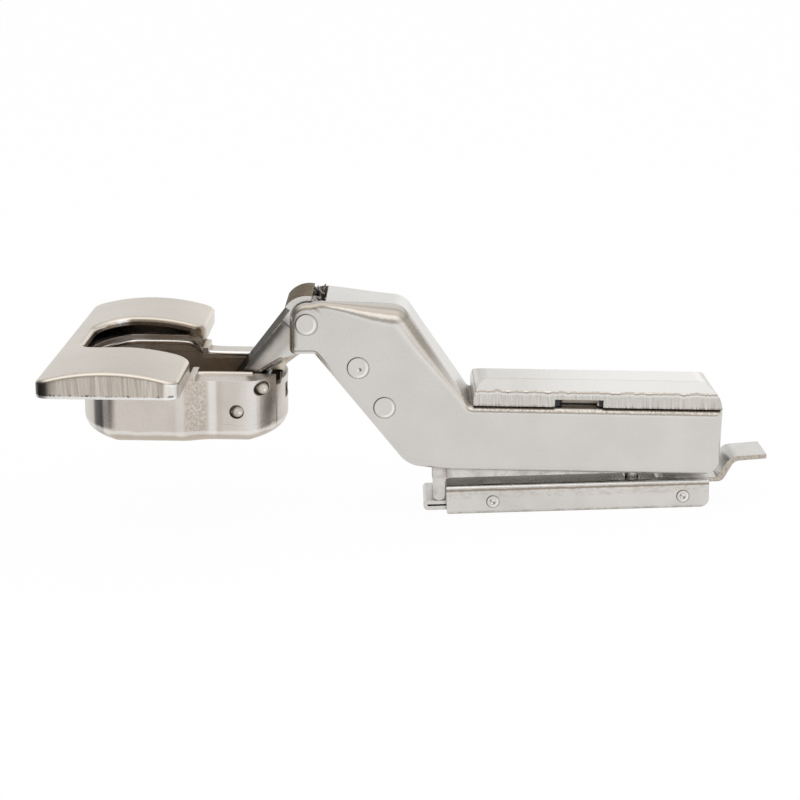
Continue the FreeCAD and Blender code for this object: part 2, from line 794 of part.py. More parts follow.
def cap_form(name, inset):
    """Solid form of the cap, or of its inside when it is set in by the sheet."""
    front = -cell("cap_front") + inset
    rear = cell("cap_rear") - inset
    top = deck + cell("cap_height") - inset
    base = deck + 0.05 - inset * 2
    half = arm_half - cell("cap_inset") - inset
    side = deck + cell("cap_side") - inset * 0.4
    flat = cell("cap_flat") / 2 - inset * 0.3
    profile = side_slab(name + "_profile", [
        (front, base),
        (rear, base),
        (rear, top, cell("cap_rear_round") - inset),
        (front, top, cell("cap_front_round") - inset)], half * 2 + 2)
    section = slab(name + "_section", "YZ_Plane", [
        (-half, base),
        (half, base),
        (half, side, 0.5),
        (flat, top, 1.2),
        (-flat, top, 1.2),
        (-half, side, 0.5)], cell("cap_front") * 3)
    return common(name, profile, section)


def arm_cap():
    """Pressed cover with sloping shoulders and a notch in each long side."""
    sheet_t = cell("cap_sheet")
    outer = cap_form("cap_outside", sized(0))
    inner = cap_form("cap_inside", sheet_t)
    notch_half = cell("notch_length") / 2
    notch = block("cap_notch", (-cell("notch_at") - notch_half, -cell("notch_at") + notch_half),
                  across(arm_half + 1), (deck - 1, deck + cell("notch_height") + 0.05))
    name_part(seat_on_arm(cut("cap", outer, inner, notch)), "arm_cap")


def cap_clip():
    """Black plastic clip on the deck that the cap snaps over, with a steel leaf in it."""
    middle = -cell("notch_at")
    half = cell("cap_clip_length") / 2
    width = arm_half - cell("cap_inset") - cell("cap_sheet") - 0.15
    base = deck + 0.02
    body = side_slab("clip_body", [
        (middle - half, base),
        (middle + half, base),
        (middle + half, base + 2.0, 0.6),
        (middle - half, base + 2.0, 0.6)], width * 2)
    inner_half = cell("notch_length") / 2 - 0.9
    pockets = []
    for number, (low, high) in enumerate(((-width - 1, -width + 1.6), (width - 1.6, width + 1))):
        pockets.append(block(f"clip_pocket{number}", (middle - inner_half, middle + inner_half),
                             (low, high), (base - 1, base + 1.0)))
    groove = block("clip_groove", (middle - inner_half, middle + inner_half),
                   across(width + 1), (base + 1.2, base + 3))
    name_part(seat_on_arm(cut("clip_plastic", body, *pockets, groove)), "cap_clip")
    leaf = side_slab("leaf_form", [
        (middle - inner_half + 0.1, base + 1.22),
        (middle + inner_half - 0.1, base + 1.22),
        (middle + inner_half - 0.1, base + 1.62),
        (middle - inner_half + 0.1, base + 1.62)], (width - 0.2) * 2)
    name_part(seat_on_arm(leaf), "clip_leaf")


hinge_arm()
for rivet_label in rivet_places:
    rivet(rivet_label)
spacer_sleeve()
arm_cap()
cap_clip()

cup_x = -cell("cup_x")
door = cell("door_plane")
cup_tilt = cell("cup_tilt")
cup_radius = cell("cup_diameter") / 2
cup_wall = cell("cup_wall")
cup_low = -cell("cup_depth")
front_half = cell("cup_front") / 2
waist = cell("cup_waist") / 2
ledge = -cell("ledge_drop")
flat_from = cell("cup_flat_from")
flange_sheet = cell("flange_sheet")
link_pin_radius = cell("link_pin_diameter") / 2
screw_x = -cell("screw_offset")
screw_y = cell("screw_spacing") / 2
cover_mid = screw_x + cell("cover_shift")
cover_half = cell("cover_width") / 2
cover_long = screw_y + cell("cover_end")


def on_cup(along, above):
    """Model place of a point given in the cup's frame: from its centre on the door's face."""
    x = cup_x + along * cosine(cup_tilt) + above * sine(cup_tilt)
    z = door - along * sine(cup_tilt) + above * cosine(cup_tilt)
    return x, z


def seat_on_cup(thing):
    """Places a piece that is modelled in the cup's frame."""
    thing.Placement = FreeCAD.Placement(FreeCAD.Vector(0, 0, 0),
                                        FreeCAD.Rotation(FreeCAD.Vector(0, 1, 0), cup_tilt.value))
    thing.setExpression("Placement.Rotation.Angle", f"{cup_tilt.text} * 1 deg")
    return move(thing, cup_x, 0, door)


upper_in_cup = (cell("pin_upper_x"), -cell("pin_upper_depth"))
lower_in_cup = (cell("pin_lower_x"), -cell("pin_lower_depth"))
upper = on_cup(*upper_in_cup)
lower = on_cup(*lower_in_cup)


def plan_slab(name, corners, low, high):
    """Plan outline in X and Y, between two heights."""
    body = slab(name, "XY_Plane", corners, high - low)
    return move(body, 0, 0, (low + high) / 2)


def cup_form(name, inset, low, high):
    """Cup round at its ends and flat at its sides, which step in towards the rear."""
    round_form = rod(name + "_round", cup_radius - inset, high - low, sized(0), 0, low, UPRIGHT)
    front = front_half - inset
    flat = waist - inset
    step = flat_from + inset
    start = step - cell("cup_step")
    ease = cell("cup_step_round")
    far = cup_radius + 1
    mask = plan_slab(name + "_mask", [
        (-far, -front),
        (start, -front, ease),
        (step, -flat, ease),
        (far, -flat),
        (far, flat),
        (step, flat, ease),
        (start, front, ease),
        (-far, front)], low - 1, high + 1)
    both = common(name + "_both", round_form, mask)
    corners = [abs(front.value), abs(flat.value)]
    return rounded_edges(name, both, [
        (lambda bottom, middle, top: abs(bottom.z - top.z) > 1
         and min(abs(abs(middle.y) - side) for side in corners) < 1e-4
         and abs(middle.x) > step.value + 0.5,
         lambda point: cell("cup_corner").value - inset.value)])


def flange_plan(name, low, high):
    """Plan of the flange, which fits inside the cover's skirt."""
    room = cell("cover_sheet") + side_play / 2
    side = cover_half - room
    corner = cell("cover_corner") - cell("cover_sheet")
    return plan_slab(name, [
        (cover_mid - side, room - cover_long, corner),
        (cover_mid + side, room - cover_long, corner),
        (cover_mid + side, cover_long - room, corner),
        (cover_mid - side, cover_long - room, corner)], low, high)


def cup_shell():
    """Drawn cup with its flange, the lowered ledges beside the links and the holes."""
    above = sized(5)
    outside = cup_form("cup_outside", sized(0), cup_low, sized(0))
    rounded = rounded_edges("cup_rounded", outside, [
        (lambda low, mid, high: low.z < cup_low.value + 1e-4 and high.z < cup_low.value + 1e-4,
         lambda point: cell("cup_foot_radius").value)])
    solid = fuse("cup_solid", rounded, flange_plan("cup_flange", sized(0), flange_sheet))
    inner_low = cup_low + cup_wall
    hollow = cup_form("cup_hollow", cup_wall, inner_low, ledge - cup_wall)
    hollow_round = rounded_edges("cup_hollow_round", hollow, [
        (lambda low, mid, high: low.z < inner_low.value + 1e-4 and high.z < inner_low.value + 1e-4,
         lambda point: cell("cup_foot_radius").value - cup_wall.value)])
    bowl = rod("cup_bowl", cup_radius - cup_wall, above - ledge, sized(0), 0,
               ledge - cup_wall - 0.5, UPRIGHT)
    bowl_side = block("cup_bowl_side", (-cup_radius, flat_from - 3.0),
                      across(cell("cup_mouth") / 2), (ledge - cup_wall - 1, above))
    bowl_front = common("cup_bowl_front", bowl, bowl_side)
    lane = block("cup_lane", (sized(0), cup_radius - cup_wall),
                 across(outer_link_half + cell("lane_gap")), (ledge - cup_wall - 1, above))
    step_down = block("cup_step", (flat_from - 2.0, cup_radius + 2), across(cup_radius + 1),
                      (ledge, above))
    saddle = block("cup_saddle", (cup_radius - 4, cup_radius + 2),
                   across(inner_link_half + cup_wall), (ledge - 1.3, above))
    slot = block("cup_back_slot", (cup_radius - 3, cup_radius + 1), across(sized(3.0)),
                 (ledge - 5.2, ledge - 2.6))
    seams = []
    seam_at = cup_radius - 1.6
    for number, sides in enumerate(((-cup_radius, sized(-6.8)), (sized(6.8), cup_radius))):
        seams.append(block(f"cup_seam{number}", (seam_at, seam_at + 0.2), sides,
                           (cup_low + cell("cup_foot_radius") / 2, ledge + 1)))
    holes = []
    for label, (x, z) in (("upper", upper_in_cup), ("lower", lower_in_cup)):
        holes.append(cross_rod(f"cup_{label}_hole", link_pin_radius + 0.1, cup_radius, x, z))
    for number, sign in enumerate((-1, 1)):
        holes.append(rod(f"cup_screw{number}", cell("screw_hole") / 2, flange_sheet * 3,
                         screw_x, screw_y * sign, -flange_sheet, UPRIGHT))
    whole = cut("cup", solid, hollow_round, bowl_front, lane, step_down, saddle, slot,
                *seams, *holes)
    name_part(seat_on_cup(whole), "cup_shell")


def link_pin(label, place, half):
    name_part(cross_rod(label + "_rod", link_pin_radius, half, place[0], place[1]), label)


def crown_form(name, inset, drop):
    """Bar across the cover's width with an arched top, lowered by drop."""
    left, right = cover_mid - cover_half + inset, cover_mid + cover_half - inset
    low = cell("cover_lift") - inset * 3
    top = cell("cover_height") - inset - drop
    side = top - cell("cover_crown")
    body = doc.addObject("PartDesign::Body", name)
    sketch = body.newObject("Sketcher::SketchObject", name + "_outline")
    sketch.AttachmentSupport = [(origin_plane(body, "XZ_Plane"), "")]
    sketch.MapMode = "FlatFace"
    foot_left = FreeCAD.Vector(float(left), float(low), 0)
    foot_right = FreeCAD.Vector(float(right), float(low), 0)
    side_right = FreeCAD.Vector(float(right), float(side), 0)
    side_left = FreeCAD.Vector(float(left), float(side), 0)
    peak = FreeCAD.Vector(float(cover_mid), float(top), 0)
    base = sketch.addGeometry(Part.LineSegment(foot_left, foot_right), False)
    up = sketch.addGeometry(Part.LineSegment(foot_right, side_right), False)
    centre = Part.Arc(side_right, peak, side_left).toShape().Curve.Center
    arch = sketch.addGeometry(round_arc(side_right, centre, side_left, True), False)
    down = sketch.addGeometry(Part.LineSegment(side_left, foot_left), False)
    crown = sketch.addGeometry(Part.Point(peak), True)
    sketch.addConstraint(Sketcher.Constraint("PointOnObject", crown, 1, arch))
    for one, two in ((base, up), (up, arch), (arch, down), (down, base)):
        sketch.addConstraint(Sketcher.Constraint("Coincident", one, 2, two, 1))
    held = [(base, left, low), (up, right, low), (arch, right, side), (down, left, side),
            (crown, cover_mid, top)]
    for geometry, x, z in held:
        for kind, amount in (("DistanceX", x), ("DistanceY", z)):
            number = sketch.addConstraint(Sketcher.Constraint(kind, -1, 1, geometry, 1,
                                                              float(amount)))
            sketch.setExpression(f"Constraints[{number}]", amount.text)
    pad = body.newObject("PartDesign::Pad", name + "_pad")
    pad.Profile = sketch
    pad.Midplane = True
    bind(pad, "Length", cover_long * 2 + 4)
    return body


mouth_half = cell("mouth_width") / 2
mouth_end = cover_mid + cover_half - cell("mouth_depth")


def cover_form(name, inset):
    """Crowned C form of the cover, or of its inside when it is set in by the sheet."""
    left, right = cover_mid - cover_half + inset, cover_mid + cover_half - inset
    half = cover_long - inset
    corner = cell("cover_corner") - inset
    mouth = mouth_half + inset
    end = mouth_end - inset
    plan = plan_slab(name + "_plan", [
        (left, -half, corner),
        (right, -half, corner),
        (right, -mouth, 2.6 - inset),
        (end, -mouth, 6.0 + inset),
        (end, mouth, 6.0 + inset),
        (right, mouth, 2.6 - inset),
        (right, half, corner),
        (left, half, corner)], sized(-5), cell("cover_height") + 5)
    return common(name, crown_form(name + "_crown", inset, sized(0)), plan)


def cup_cover():
    """Hollow C-shaped pressing, crowned along X, that covers the flange."""
    sheet_t = cell("cover_sheet")
    outer = cover_form("cover_outside", sized(0))
    inner = cover_form("cover_inside", sheet_t)
    low = cell("cover_lift").value
    rounded = rounded_edges("cover_rounded", outer, [
        (lambda a, mid, b: min(a.z, mid.z, b.z) > low + 1.0 and not (
            abs(a.x - b.x) < 1e-4 and abs(a.y - b.y) < 1e-4),
         lambda point: cell("cover_edge").value)])
    flange = flange_plan("cover_seat", sized(-1), flange_sheet + 0.05)
    below_lip = crown_form("cover_below_lip", sized(0), cell("cover_lip"))
    lip_reach = block("cover_lip_reach", (mouth_end - sheet_t - 0.1, cover_mid + cover_half - 2.8),
                      across(mouth_half + sheet_t + 0.1), (sized(-5), cell("cover_height")))
    lip_room = common("cover_lip_room", below_lip, lip_reach)
    name_part(seat_on_cup(cut("cover", rounded, inner, flange, lip_room)), "cup_cover")


front_x, front_z = on_arm(*rivet_places["rivet_front"])
middle_x, middle_z = on_arm(*rivet_places["rivet_middle"])


def outer_link():
    """Goose-necked channel from the front rivet into the cup, curled over at the rivet."""
    hub = cell("outer_link_hub")
    eye = cell("outer_link_eye")
    metal = cell("outer_link_sheet")
    half = outer_link_half
    span = math.hypot(float(front_x - lower[0]), float(front_z - lower[1]))
    rise = math.degrees(math.atan2(float(front_z - lower[1]), float(front_x - lower[0])))
    swing = math.degrees(math.asin((hub.value - eye.value) / span))
    normal = math.radians(rise + 90 + swing)
    side = (sized(math.cos(normal)), sized(math.sin(normal)))

    def beside(place, distance):
        return place[0] + side[0] * distance, place[1] + side[1] * distance

    rivet_place = (front_x, front_z)
    outer = side_slab("outer_link_form", [
        beside(rivet_place, hub),
        beside(lower, eye),
        (lower[0] + eye * 0.75, lower[1] - eye * 0.55),
        (upper[0] - 1.75, upper[1] + 0.5, 0.8),
        (upper[0] + 3.0, upper[1] + 3.7, 3.0),
        (upper[0] + 5.2, upper[1] + 4.3, 1.0),
        (front_x + hub * 0.6, front_z - hub * 0.8)], half * 2)
    hub_disc = cross_rod("outer_link_hub_disc", hub, half, front_x, front_z)
    eye_disc = cross_rod("outer_link_eye_disc", eye, half, lower[0], lower[1])
    solid = fuse("outer_link_solid", outer, hub_disc, eye_disc)
    far = sized(30)
    along = (side[1], -side[0])
    first = beside(rivet_place, hub - metal)
    second = beside(lower, eye - metal)
    inside = side_slab("outer_link_inside", [
        (first[0] + along[0] * 12, first[1] + along[1] * 12),
        (second[0] - along[0] * 12, second[1] - along[1] * 12),
        (second[0] - along[0] * 12 - side[0] * far, second[1] - along[1] * 12 - side[1] * far),
        (first[0] + along[0] * 12 - side[0] * far, first[1] + along[1] * 12 - side[1] * far)],
        (half - metal) * 2)
    channel = cut("outer_link_channel", solid, inside)
    curl = curl_ring("outer_link_curl", half)
    both = fuse("outer_link_both", channel, curl)
    rivet_eye = cross_rod("outer_link_rivet_eye", cell("rivet_shaft") / 2 + play, half + 1,
                          front_x, front_z)
    pin_eye = cross_rod("outer_link_pin_eye", link_pin_radius + play, half + 1, lower[0], lower[1])
    coil_room = cross_rod("outer_link_coil_room",
                          cell("spring_radius") + cell("spring_wire") / 2 + side_play * 0.7,
                          half - metal, front_x, front_z)
    name_part(cut("outer_link_done", both, rivet_eye, pin_eye, coil_room), "outer_link")


def curl_ring(name, half):
    """Part of a ring about the front rivet, from above the arm to the neck's face."""
    radius = cell("curl_radius")
    ring = doc.addObject("Part::Cylinder", name + "_ring")
    bind(ring, "Radius", radius)
    bind(ring, "Height", half * 2)
    ring.Angle = 66
    ring.Placement.Rotation = FreeCAD.Rotation(FreeCAD.Vector(0, 1, 0), -76) * FreeCAD.Rotation(
        FreeCAD.Vector(1, 0, 0), 90)
    move(ring, front_x, half, front_z)
    bore = cross_rod(name + "_bore", cell("outer_link_hub") - 0.05, half + 1, front_x, front_z)
    return cut(name, ring, bore)


def inner_link():
    """Bowed channel from the middle rivet to the cup's upper pin."""
    hub = cell("inner_link_hub")
    metal = cell("inner_link_sheet")
    half = inner_link_half
    middle = (middle_x, middle_z)
    reach = link_pin_radius + 0.15
    outer = side_slab("inner_link_form", [
        (upper[0] - 1.1, upper[1]),
        (upper[0] + 3.0, upper[1]),
        (upper[0] + 3.9, upper[1] + 2.6, 1.0),
        (upper[0] + 8.4, upper[1] + 5.7, 2.5),
        (middle_x - hub * 0.75, middle_z - hub * 0.6),
        (middle_x + 2.2, middle_z + hub * 0.95),
        (middle_x - 4.6, middle_z + 5.6, 2.5),
        (upper[0] + 5.6, upper[1] + 7.0, 2.0),
        (upper[0] + 1.9, upper[1] + 4.3, 2.0),
        (upper[0] + 0.4, upper[1] + 3.0, 1.0),
        (upper[0] - 1.1, upper[1] + 1.0)], half * 2)
    hub_disc = cross_rod("inner_link_hub_disc", hub, half, middle_x, middle_z)
    solid = fuse("inner_link_solid", outer, hub_disc)
    gap = half - metal
    inside = side_slab("inner_link_inside", [
        (upper[0] - 6, upper[1] - 5),
        (upper[0] + 2.0, upper[1] - 5),
        (upper[0] + 2.6, upper[1] + 3.1),
        (upper[0] + 8.2, upper[1] + 6.8, 2.0),
        (middle_x - 2.0, middle_z + 1.2),
        (middle_x + 8, middle_z - 5),
        (middle_x + 8, middle_z + 12),
        (upper[0] - 6, middle_z + 12)], gap * 2)
    channel = cut("inner_link_channel", solid, inside)
    rivet_eye = cross_rod("inner_link_rivet_eye", cell("rivet_shaft") / 2 + play, half + 1,
                          middle_x, middle_z)
    wander = cell("pin_wander")
    rise = cell("pin_rise")
    seat = side_slab("inner_link_seat", [
        (upper[0] - reach, upper[1] - 4),
        (upper[0] + wander + reach, upper[1] - 4),
        (upper[0] + wander + reach, upper[1] + reach + rise, reach * 0.98),
        (upper[0] - reach, upper[1] + reach + rise, reach * 0.98)], (half + 1) * 2)
    name_part(cut("inner_link_done", channel, rivet_eye, seat), "inner_link")


def closing_spring():
    """Torsion coil on the front rivet; its long leg rests on the rear rivet's sleeve."""
    half = 2.9
    coil("closing_spring", front_x.value, front_z.value, cell("spring_radius").value,
         cell("spring_wire").value, cell("spring_turns").value, half, [(1, 4.0)], -80)


cup_shell()
link_pin("link_pin_upper", upper, sized(10.3))
link_pin("link_pin_lower", lower, waist - 0.6)
cup_cover()
outer_link()
inner_link()
closing_spring()
along_middle, above_middle = rivet_places["rivet_middle"]
ring_pair("link_washers", along_middle, above_middle, sized(2.9),
          cell("rivet_shaft") / 2 + play, inner_link_half + side_play, arm_inner - 0.05)

doc.recompute()
failed = []
for thing in doc.Objects:
    if "Invalid" in thing.State or "Error" in thing.State:
        failed.append(thing.Name)
if failed:
    raise RuntimeError(f"these failed: {failed}")
for thing in PARTS:
    shape = thing.Shape
    if shape.isNull() or not shape.isValid() or shape.Volume < 1e-3:
        raise RuntimeError(f"{thing.Label} has no sound solid")

os.makedirs("parts", exist_ok=True)
for thing in PARTS:
    thing.Shape.exportStep(f"parts/{thing.Label}.step")
    print(thing.Label, len(thing.Shape.Solids), round(thing.Shape.Volume, 1))
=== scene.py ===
import math

import bpy
from mathutils import Matrix, Vector


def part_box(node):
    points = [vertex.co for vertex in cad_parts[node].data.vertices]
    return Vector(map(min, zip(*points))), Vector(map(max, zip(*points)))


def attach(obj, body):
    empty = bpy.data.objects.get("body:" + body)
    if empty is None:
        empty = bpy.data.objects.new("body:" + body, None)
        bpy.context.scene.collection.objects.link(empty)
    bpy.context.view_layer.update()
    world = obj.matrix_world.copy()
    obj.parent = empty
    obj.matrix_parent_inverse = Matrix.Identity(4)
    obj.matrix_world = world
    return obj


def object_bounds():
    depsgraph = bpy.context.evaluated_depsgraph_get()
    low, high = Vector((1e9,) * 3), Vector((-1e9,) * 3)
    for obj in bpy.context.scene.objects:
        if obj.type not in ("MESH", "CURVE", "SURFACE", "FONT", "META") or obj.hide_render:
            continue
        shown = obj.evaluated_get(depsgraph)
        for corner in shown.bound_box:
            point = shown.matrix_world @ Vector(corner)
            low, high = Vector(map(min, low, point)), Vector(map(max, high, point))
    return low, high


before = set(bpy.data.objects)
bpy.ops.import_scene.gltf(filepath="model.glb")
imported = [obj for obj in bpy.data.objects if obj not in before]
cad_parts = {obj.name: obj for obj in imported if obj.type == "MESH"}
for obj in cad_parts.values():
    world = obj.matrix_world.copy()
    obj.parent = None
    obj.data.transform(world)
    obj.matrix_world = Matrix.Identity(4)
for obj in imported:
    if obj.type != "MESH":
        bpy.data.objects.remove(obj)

bl_info = {
    "name": "Cranked hinge finish",
    "version": (1, 0, 0),
    "blender": (4, 5, 0),
    "location": "3D View > Sidebar > Hinge",
    "description": "Nickel, wire and plastic finishes for a cranked cup hinge, with its studio",
    "category": "Object",
}

CAD_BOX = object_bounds()
MM = 0.001
PHOTO_PIXELS = 800
SENSOR_MM = 36.0
BEVEL_SAMPLES = 4
SKY_SAMPLES = 6

# The cup and the arm lie tilted: an origin in millimetres and an angle below the level.
CUP_ORIGIN = (-68.5, 0.0, 27.9)
CUP_TILT = math.radians(2.6)
ARM_ORIGIN = (17.0, 0.0, 8.1)
ARM_TILT = math.radians(2.75)

LENGTHWISE = (1.0, 0.0, 0.0)
LEFTWARD = (-1.0, 0.0, 0.0)
ACROSS = (0.0, 1.0, 0.0)
UPRIGHT = (0.0, 0.0, 1.0)
LEFT_UP = Vector((-0.8, 0.0, 0.6))

# Colours of marks, oil and wear, and of painted shade, painted highlights and painted dark
# reflections.
TAN = (0.44, 0.36, 0.27)
BROWN = (0.20, 0.15, 0.10)
# Painted brown shade in corners and gaps.
CREASE_SHADE_BROWN = (0.16, 0.12, 0.08)
# Near black: soot in flecks and seams, and painted shade and painted dark reflections elsewhere.
SOOT_AND_SHADE = (0.05, 0.045, 0.04)
# White: bright grain lines, and painted highlights and glints.
WHITE = (0.92, 0.91, 0.89)
VIOLET_GREY = (0.42, 0.36, 0.34)
PALE_GOLD = (0.95, 0.85, 0.70)
WORN_BLACK = (0.035, 0.033, 0.032)
LINK_EDGE_TINT = (0.08, 0.07, 0.06, 1.0)

# Scale and strength of what every plate has: slow clouds of tone, fine grain, painted shade in
# corners.
CLOUD_SCALE = 0.16
CLOUD_RISE = (0.3, 0.7)
GRAIN_SCALE = 4.5
GRAIN_DULLNESS = 0.06
CREASE_RISE = (0.35, 0.85)
DARK_LINES = (0.5, 0.66)
BRIGHT_LINES = (0.34, 0.46)


class Level:
    """A number that varies over a surface, with plain arithmetic on it."""

    def __init__(self, finish, socket):
        self.finish = finish
        self.socket = socket

    def worked(self, operation, first, second=0.0):
        node = self.finish.node("ShaderNodeMath", {"operation": operation}, {0: first, 1: second})
        return Level(self.finish, node.outputs[0])

    def __add__(self, other):
        return self.worked("ADD", self, other)

    def __radd__(self, other):
        return self.worked("ADD", other, self)

    def __sub__(self, other):
        return self.worked("SUBTRACT", self, other)

    def __rsub__(self, other):
        return self.worked("SUBTRACT", other, self)

    def __mul__(self, other):
        return self.worked("MULTIPLY", self, other)

    def __rmul__(self, other):
        return self.worked("MULTIPLY", other, self)

    def __abs__(self):
        return self.worked("ABSOLUTE", self)

    def above(self, low, high):
        """0 below low, 1 over high, and a smooth rise between them."""
        node = self.finish.node("ShaderNodeMapRange", {"interpolation_type": "SMOOTHSTEP"},
                                {0: self, 1: low, 2: high})
        return Level(self.finish, node.outputs[0])

    def below(self, low, high):
        return 1.0 - self.above(low, high)

    def near(self, middle, half, soft):
        """1 within half of the middle, and 0 once past the soft edge."""
        return abs(self - middle).below(half, half + soft)

    def wavering(self, noise, swing):
        """The same level with the lines drawn on it made ragged by a noise."""
        return self + (noise - 0.5) * swing


class Finish:
    """The node tree of one material or world, and the few nodes that it is made from."""

    def __init__(self, owner):
        self.owner = owner
        owner.use_nodes = True
        self.tree = owner.node_tree
        self.tree.nodes.clear()

    def node(self, kind, settings=None, values=None):
        """Adds one node: its settings first, then the values or links of its sockets."""
        made = self.tree.nodes.new(kind)
        for name, value in (settings or {}).items():
            setattr(made, name, value)
        for key, value in (values or {}).items():
            socket = made.inputs[key]
            if isinstance(value, Level):
                value = value.socket
            if isinstance(value, bpy.types.NodeSocket):
                self.tree.links.new(value, socket)
            else:
                socket.default_value = value
        return made

    def vector(self, operation, first, second):
        node = self.node("ShaderNodeVectorMath", {"operation": operation}, {0: first, 1: second})
        return node.outputs["Vector"]

    def along(self, vector, axis, start=0.0):
        """How far a point lies, or how far a face looks, along an axis, counted from start."""
        node = self.node("ShaderNodeVectorMath", {"operation": "DOT_PRODUCT"},
                         {0: vector, 1: axis})
        return Level(self, node.outputs["Value"]) - start

    def mixed(self, share, first, second):
        """The first colour, with a share of the second over it."""
        node = self.node("ShaderNodeMix", {"data_type": "RGBA"},
                         {0: share, 6: first, 7: second})
        return node.outputs[2]


class Plate(Finish):
    """A metal or plastic surface, built up in layers of colour, gloss and relief."""

    def __init__(self, name, colour, roughness, edge=None):
        super().__init__(bpy.data.materials.new(name))
        here = self.node("ShaderNodeTexCoord")
        self.where = self.node("ShaderNodeVectorMath", {"operation": "SCALE"},
                               {"Vector": here.outputs["Object"], "Scale": 1 / MM}).outputs[0]
        self.facing = here.outputs["Normal"]
        self.colour = shade(colour, 1.0)
        self.roughness = roughness
        self.fixed = {"Metallic": 1.0}
        radius = looks().edge_round if edge is None else edge
        self.normal = self.node("ShaderNodeBevel", {"samples": BEVEL_SAMPLES},
                                {"Radius": radius * MM}).outputs["Normal"]

    def noise(self, scale, detail=2.0, roughness=0.5, stretch=None):
        """Cloudy pattern with scale features to a millimetre, drawn out where stretch is small."""
        where = self.where
        if stretch is not None:
            where = self.vector("MULTIPLY", where, stretch)
        node = self.node("ShaderNodeTexNoise", {"noise_dimensions": "3D"},
                         {"Vector": where, "Scale": scale, "Detail": detail,
                          "Roughness": roughness})
        return Level(self, node.outputs["Fac"])

    def aside(self):
        """Distance in millimetres from the hinge's middle plane."""
        return abs(self.along(self.where, ACROSS))

    def sideways(self):
        """1 on faces that look to either side, 0 on those that look up, down or lengthwise."""
        return abs(self.along(self.facing, ACROSS))

    def from_axis(self, centre):
        """Distance in millimetres from the line across the hinge through a centre."""
        moved = self.vector("SUBTRACT", self.where, centre)
        flat = self.vector("MULTIPLY", moved, (1.0, 0.0, 1.0))
        node = self.node("ShaderNodeVectorMath", {"operation": "LENGTH"}, {0: flat})
        return Level(self, node.outputs["Value"])

    def open_sky(self, reach):
        """1 on open faces, falling towards 0 in corners and gaps of about this reach."""
        node = self.node("ShaderNodeAmbientOcclusion", {"samples": SKY_SAMPLES},
                         {"Distance": reach * MM})
        return Level(self, node.outputs["AO"])

    def tint(self, mask, colour, share=1.0):
        """Lays a share of a colour over the plate, where the mask is 1."""
        self.colour = self.mixed(mask * share, self.colour, shade(colour, 1.0))

    def bands(self, level, mask, bands):
        """Tints bands across a level: middle, half width, soft edge, colour and share."""
        for middle, half, soft, colour, share in bands:
            self.tint(level.near(middle, half, soft) * mask, colour, share)

    def brushed(self, wall, stretch, depth, ground, dark, bright):
        """Fine lines over a wall, on a tinted ground: some brown, some bright, all in relief."""
        lines = self.noise(1.0, 2.0, 0.6, stretch)
        self.relief(lines * wall, looks().draw_depth * depth)
        self.tint(wall, *ground)
        self.tint(lines.above(*DARK_LINES) * wall, BROWN, dark)
        self.tint(lines.below(*BRIGHT_LINES) * wall, WHITE, bright)
        return lines

    def dull(self, mask, amount):
        """Roughens the plate where the mask is 1."""
        self.roughness = mask * amount + self.roughness

    def relief(self, height, depth):
        """Raises the surface by a depth in millimetres where the height is 1."""
        self.normal = self.node("ShaderNodeBump", {}, {
            "Height": height, "Distance": depth * MM, "Strength": 1.0,
            "Normal": self.normal}).outputs["Normal"]

    def toned(self, share, scale=CLOUD_SCALE):
        """Slow drift of tone over the plate, and fine grain in its gloss."""
        cloud = self.noise(scale, 2.0)
        grain = self.noise(GRAIN_SCALE, 3.0, 0.6)
        self.colour = self.mixed(cloud.above(*CLOUD_RISE), shade(self.colour, 1 - share),
                                 shade(self.colour, 1 + share))
        self.relief(grain, looks().grain_depth)
        self.dull(grain, GRAIN_DULLNESS)

    def paint_crease_shade(self, reach, share):
        """Painted brown shade in corners and gaps, where ambient occlusion finds them."""
        self.tint(self.open_sky(reach).below(*CREASE_RISE), CREASE_SHADE_BROWN, share)

    def done(self):
        """Joins colour, roughness and normal in one shader, and gives back the material."""
        values = {"Base Color": self.colour, "Roughness": self.roughness, "Normal": self.normal}
        values.update(self.fixed)
        shader = self.node("ShaderNodeBsdfPrincipled", {}, values)
        self.node("ShaderNodeOutputMaterial", {}, {"Surface": shader.outputs["BSDF"]})
        return self.owner


def shade(colour, factor):
    """The colour made darker or lighter, as a socket value."""
    return tuple(min(1.0, part * factor) for part in colour[:3]) + (1.0,)


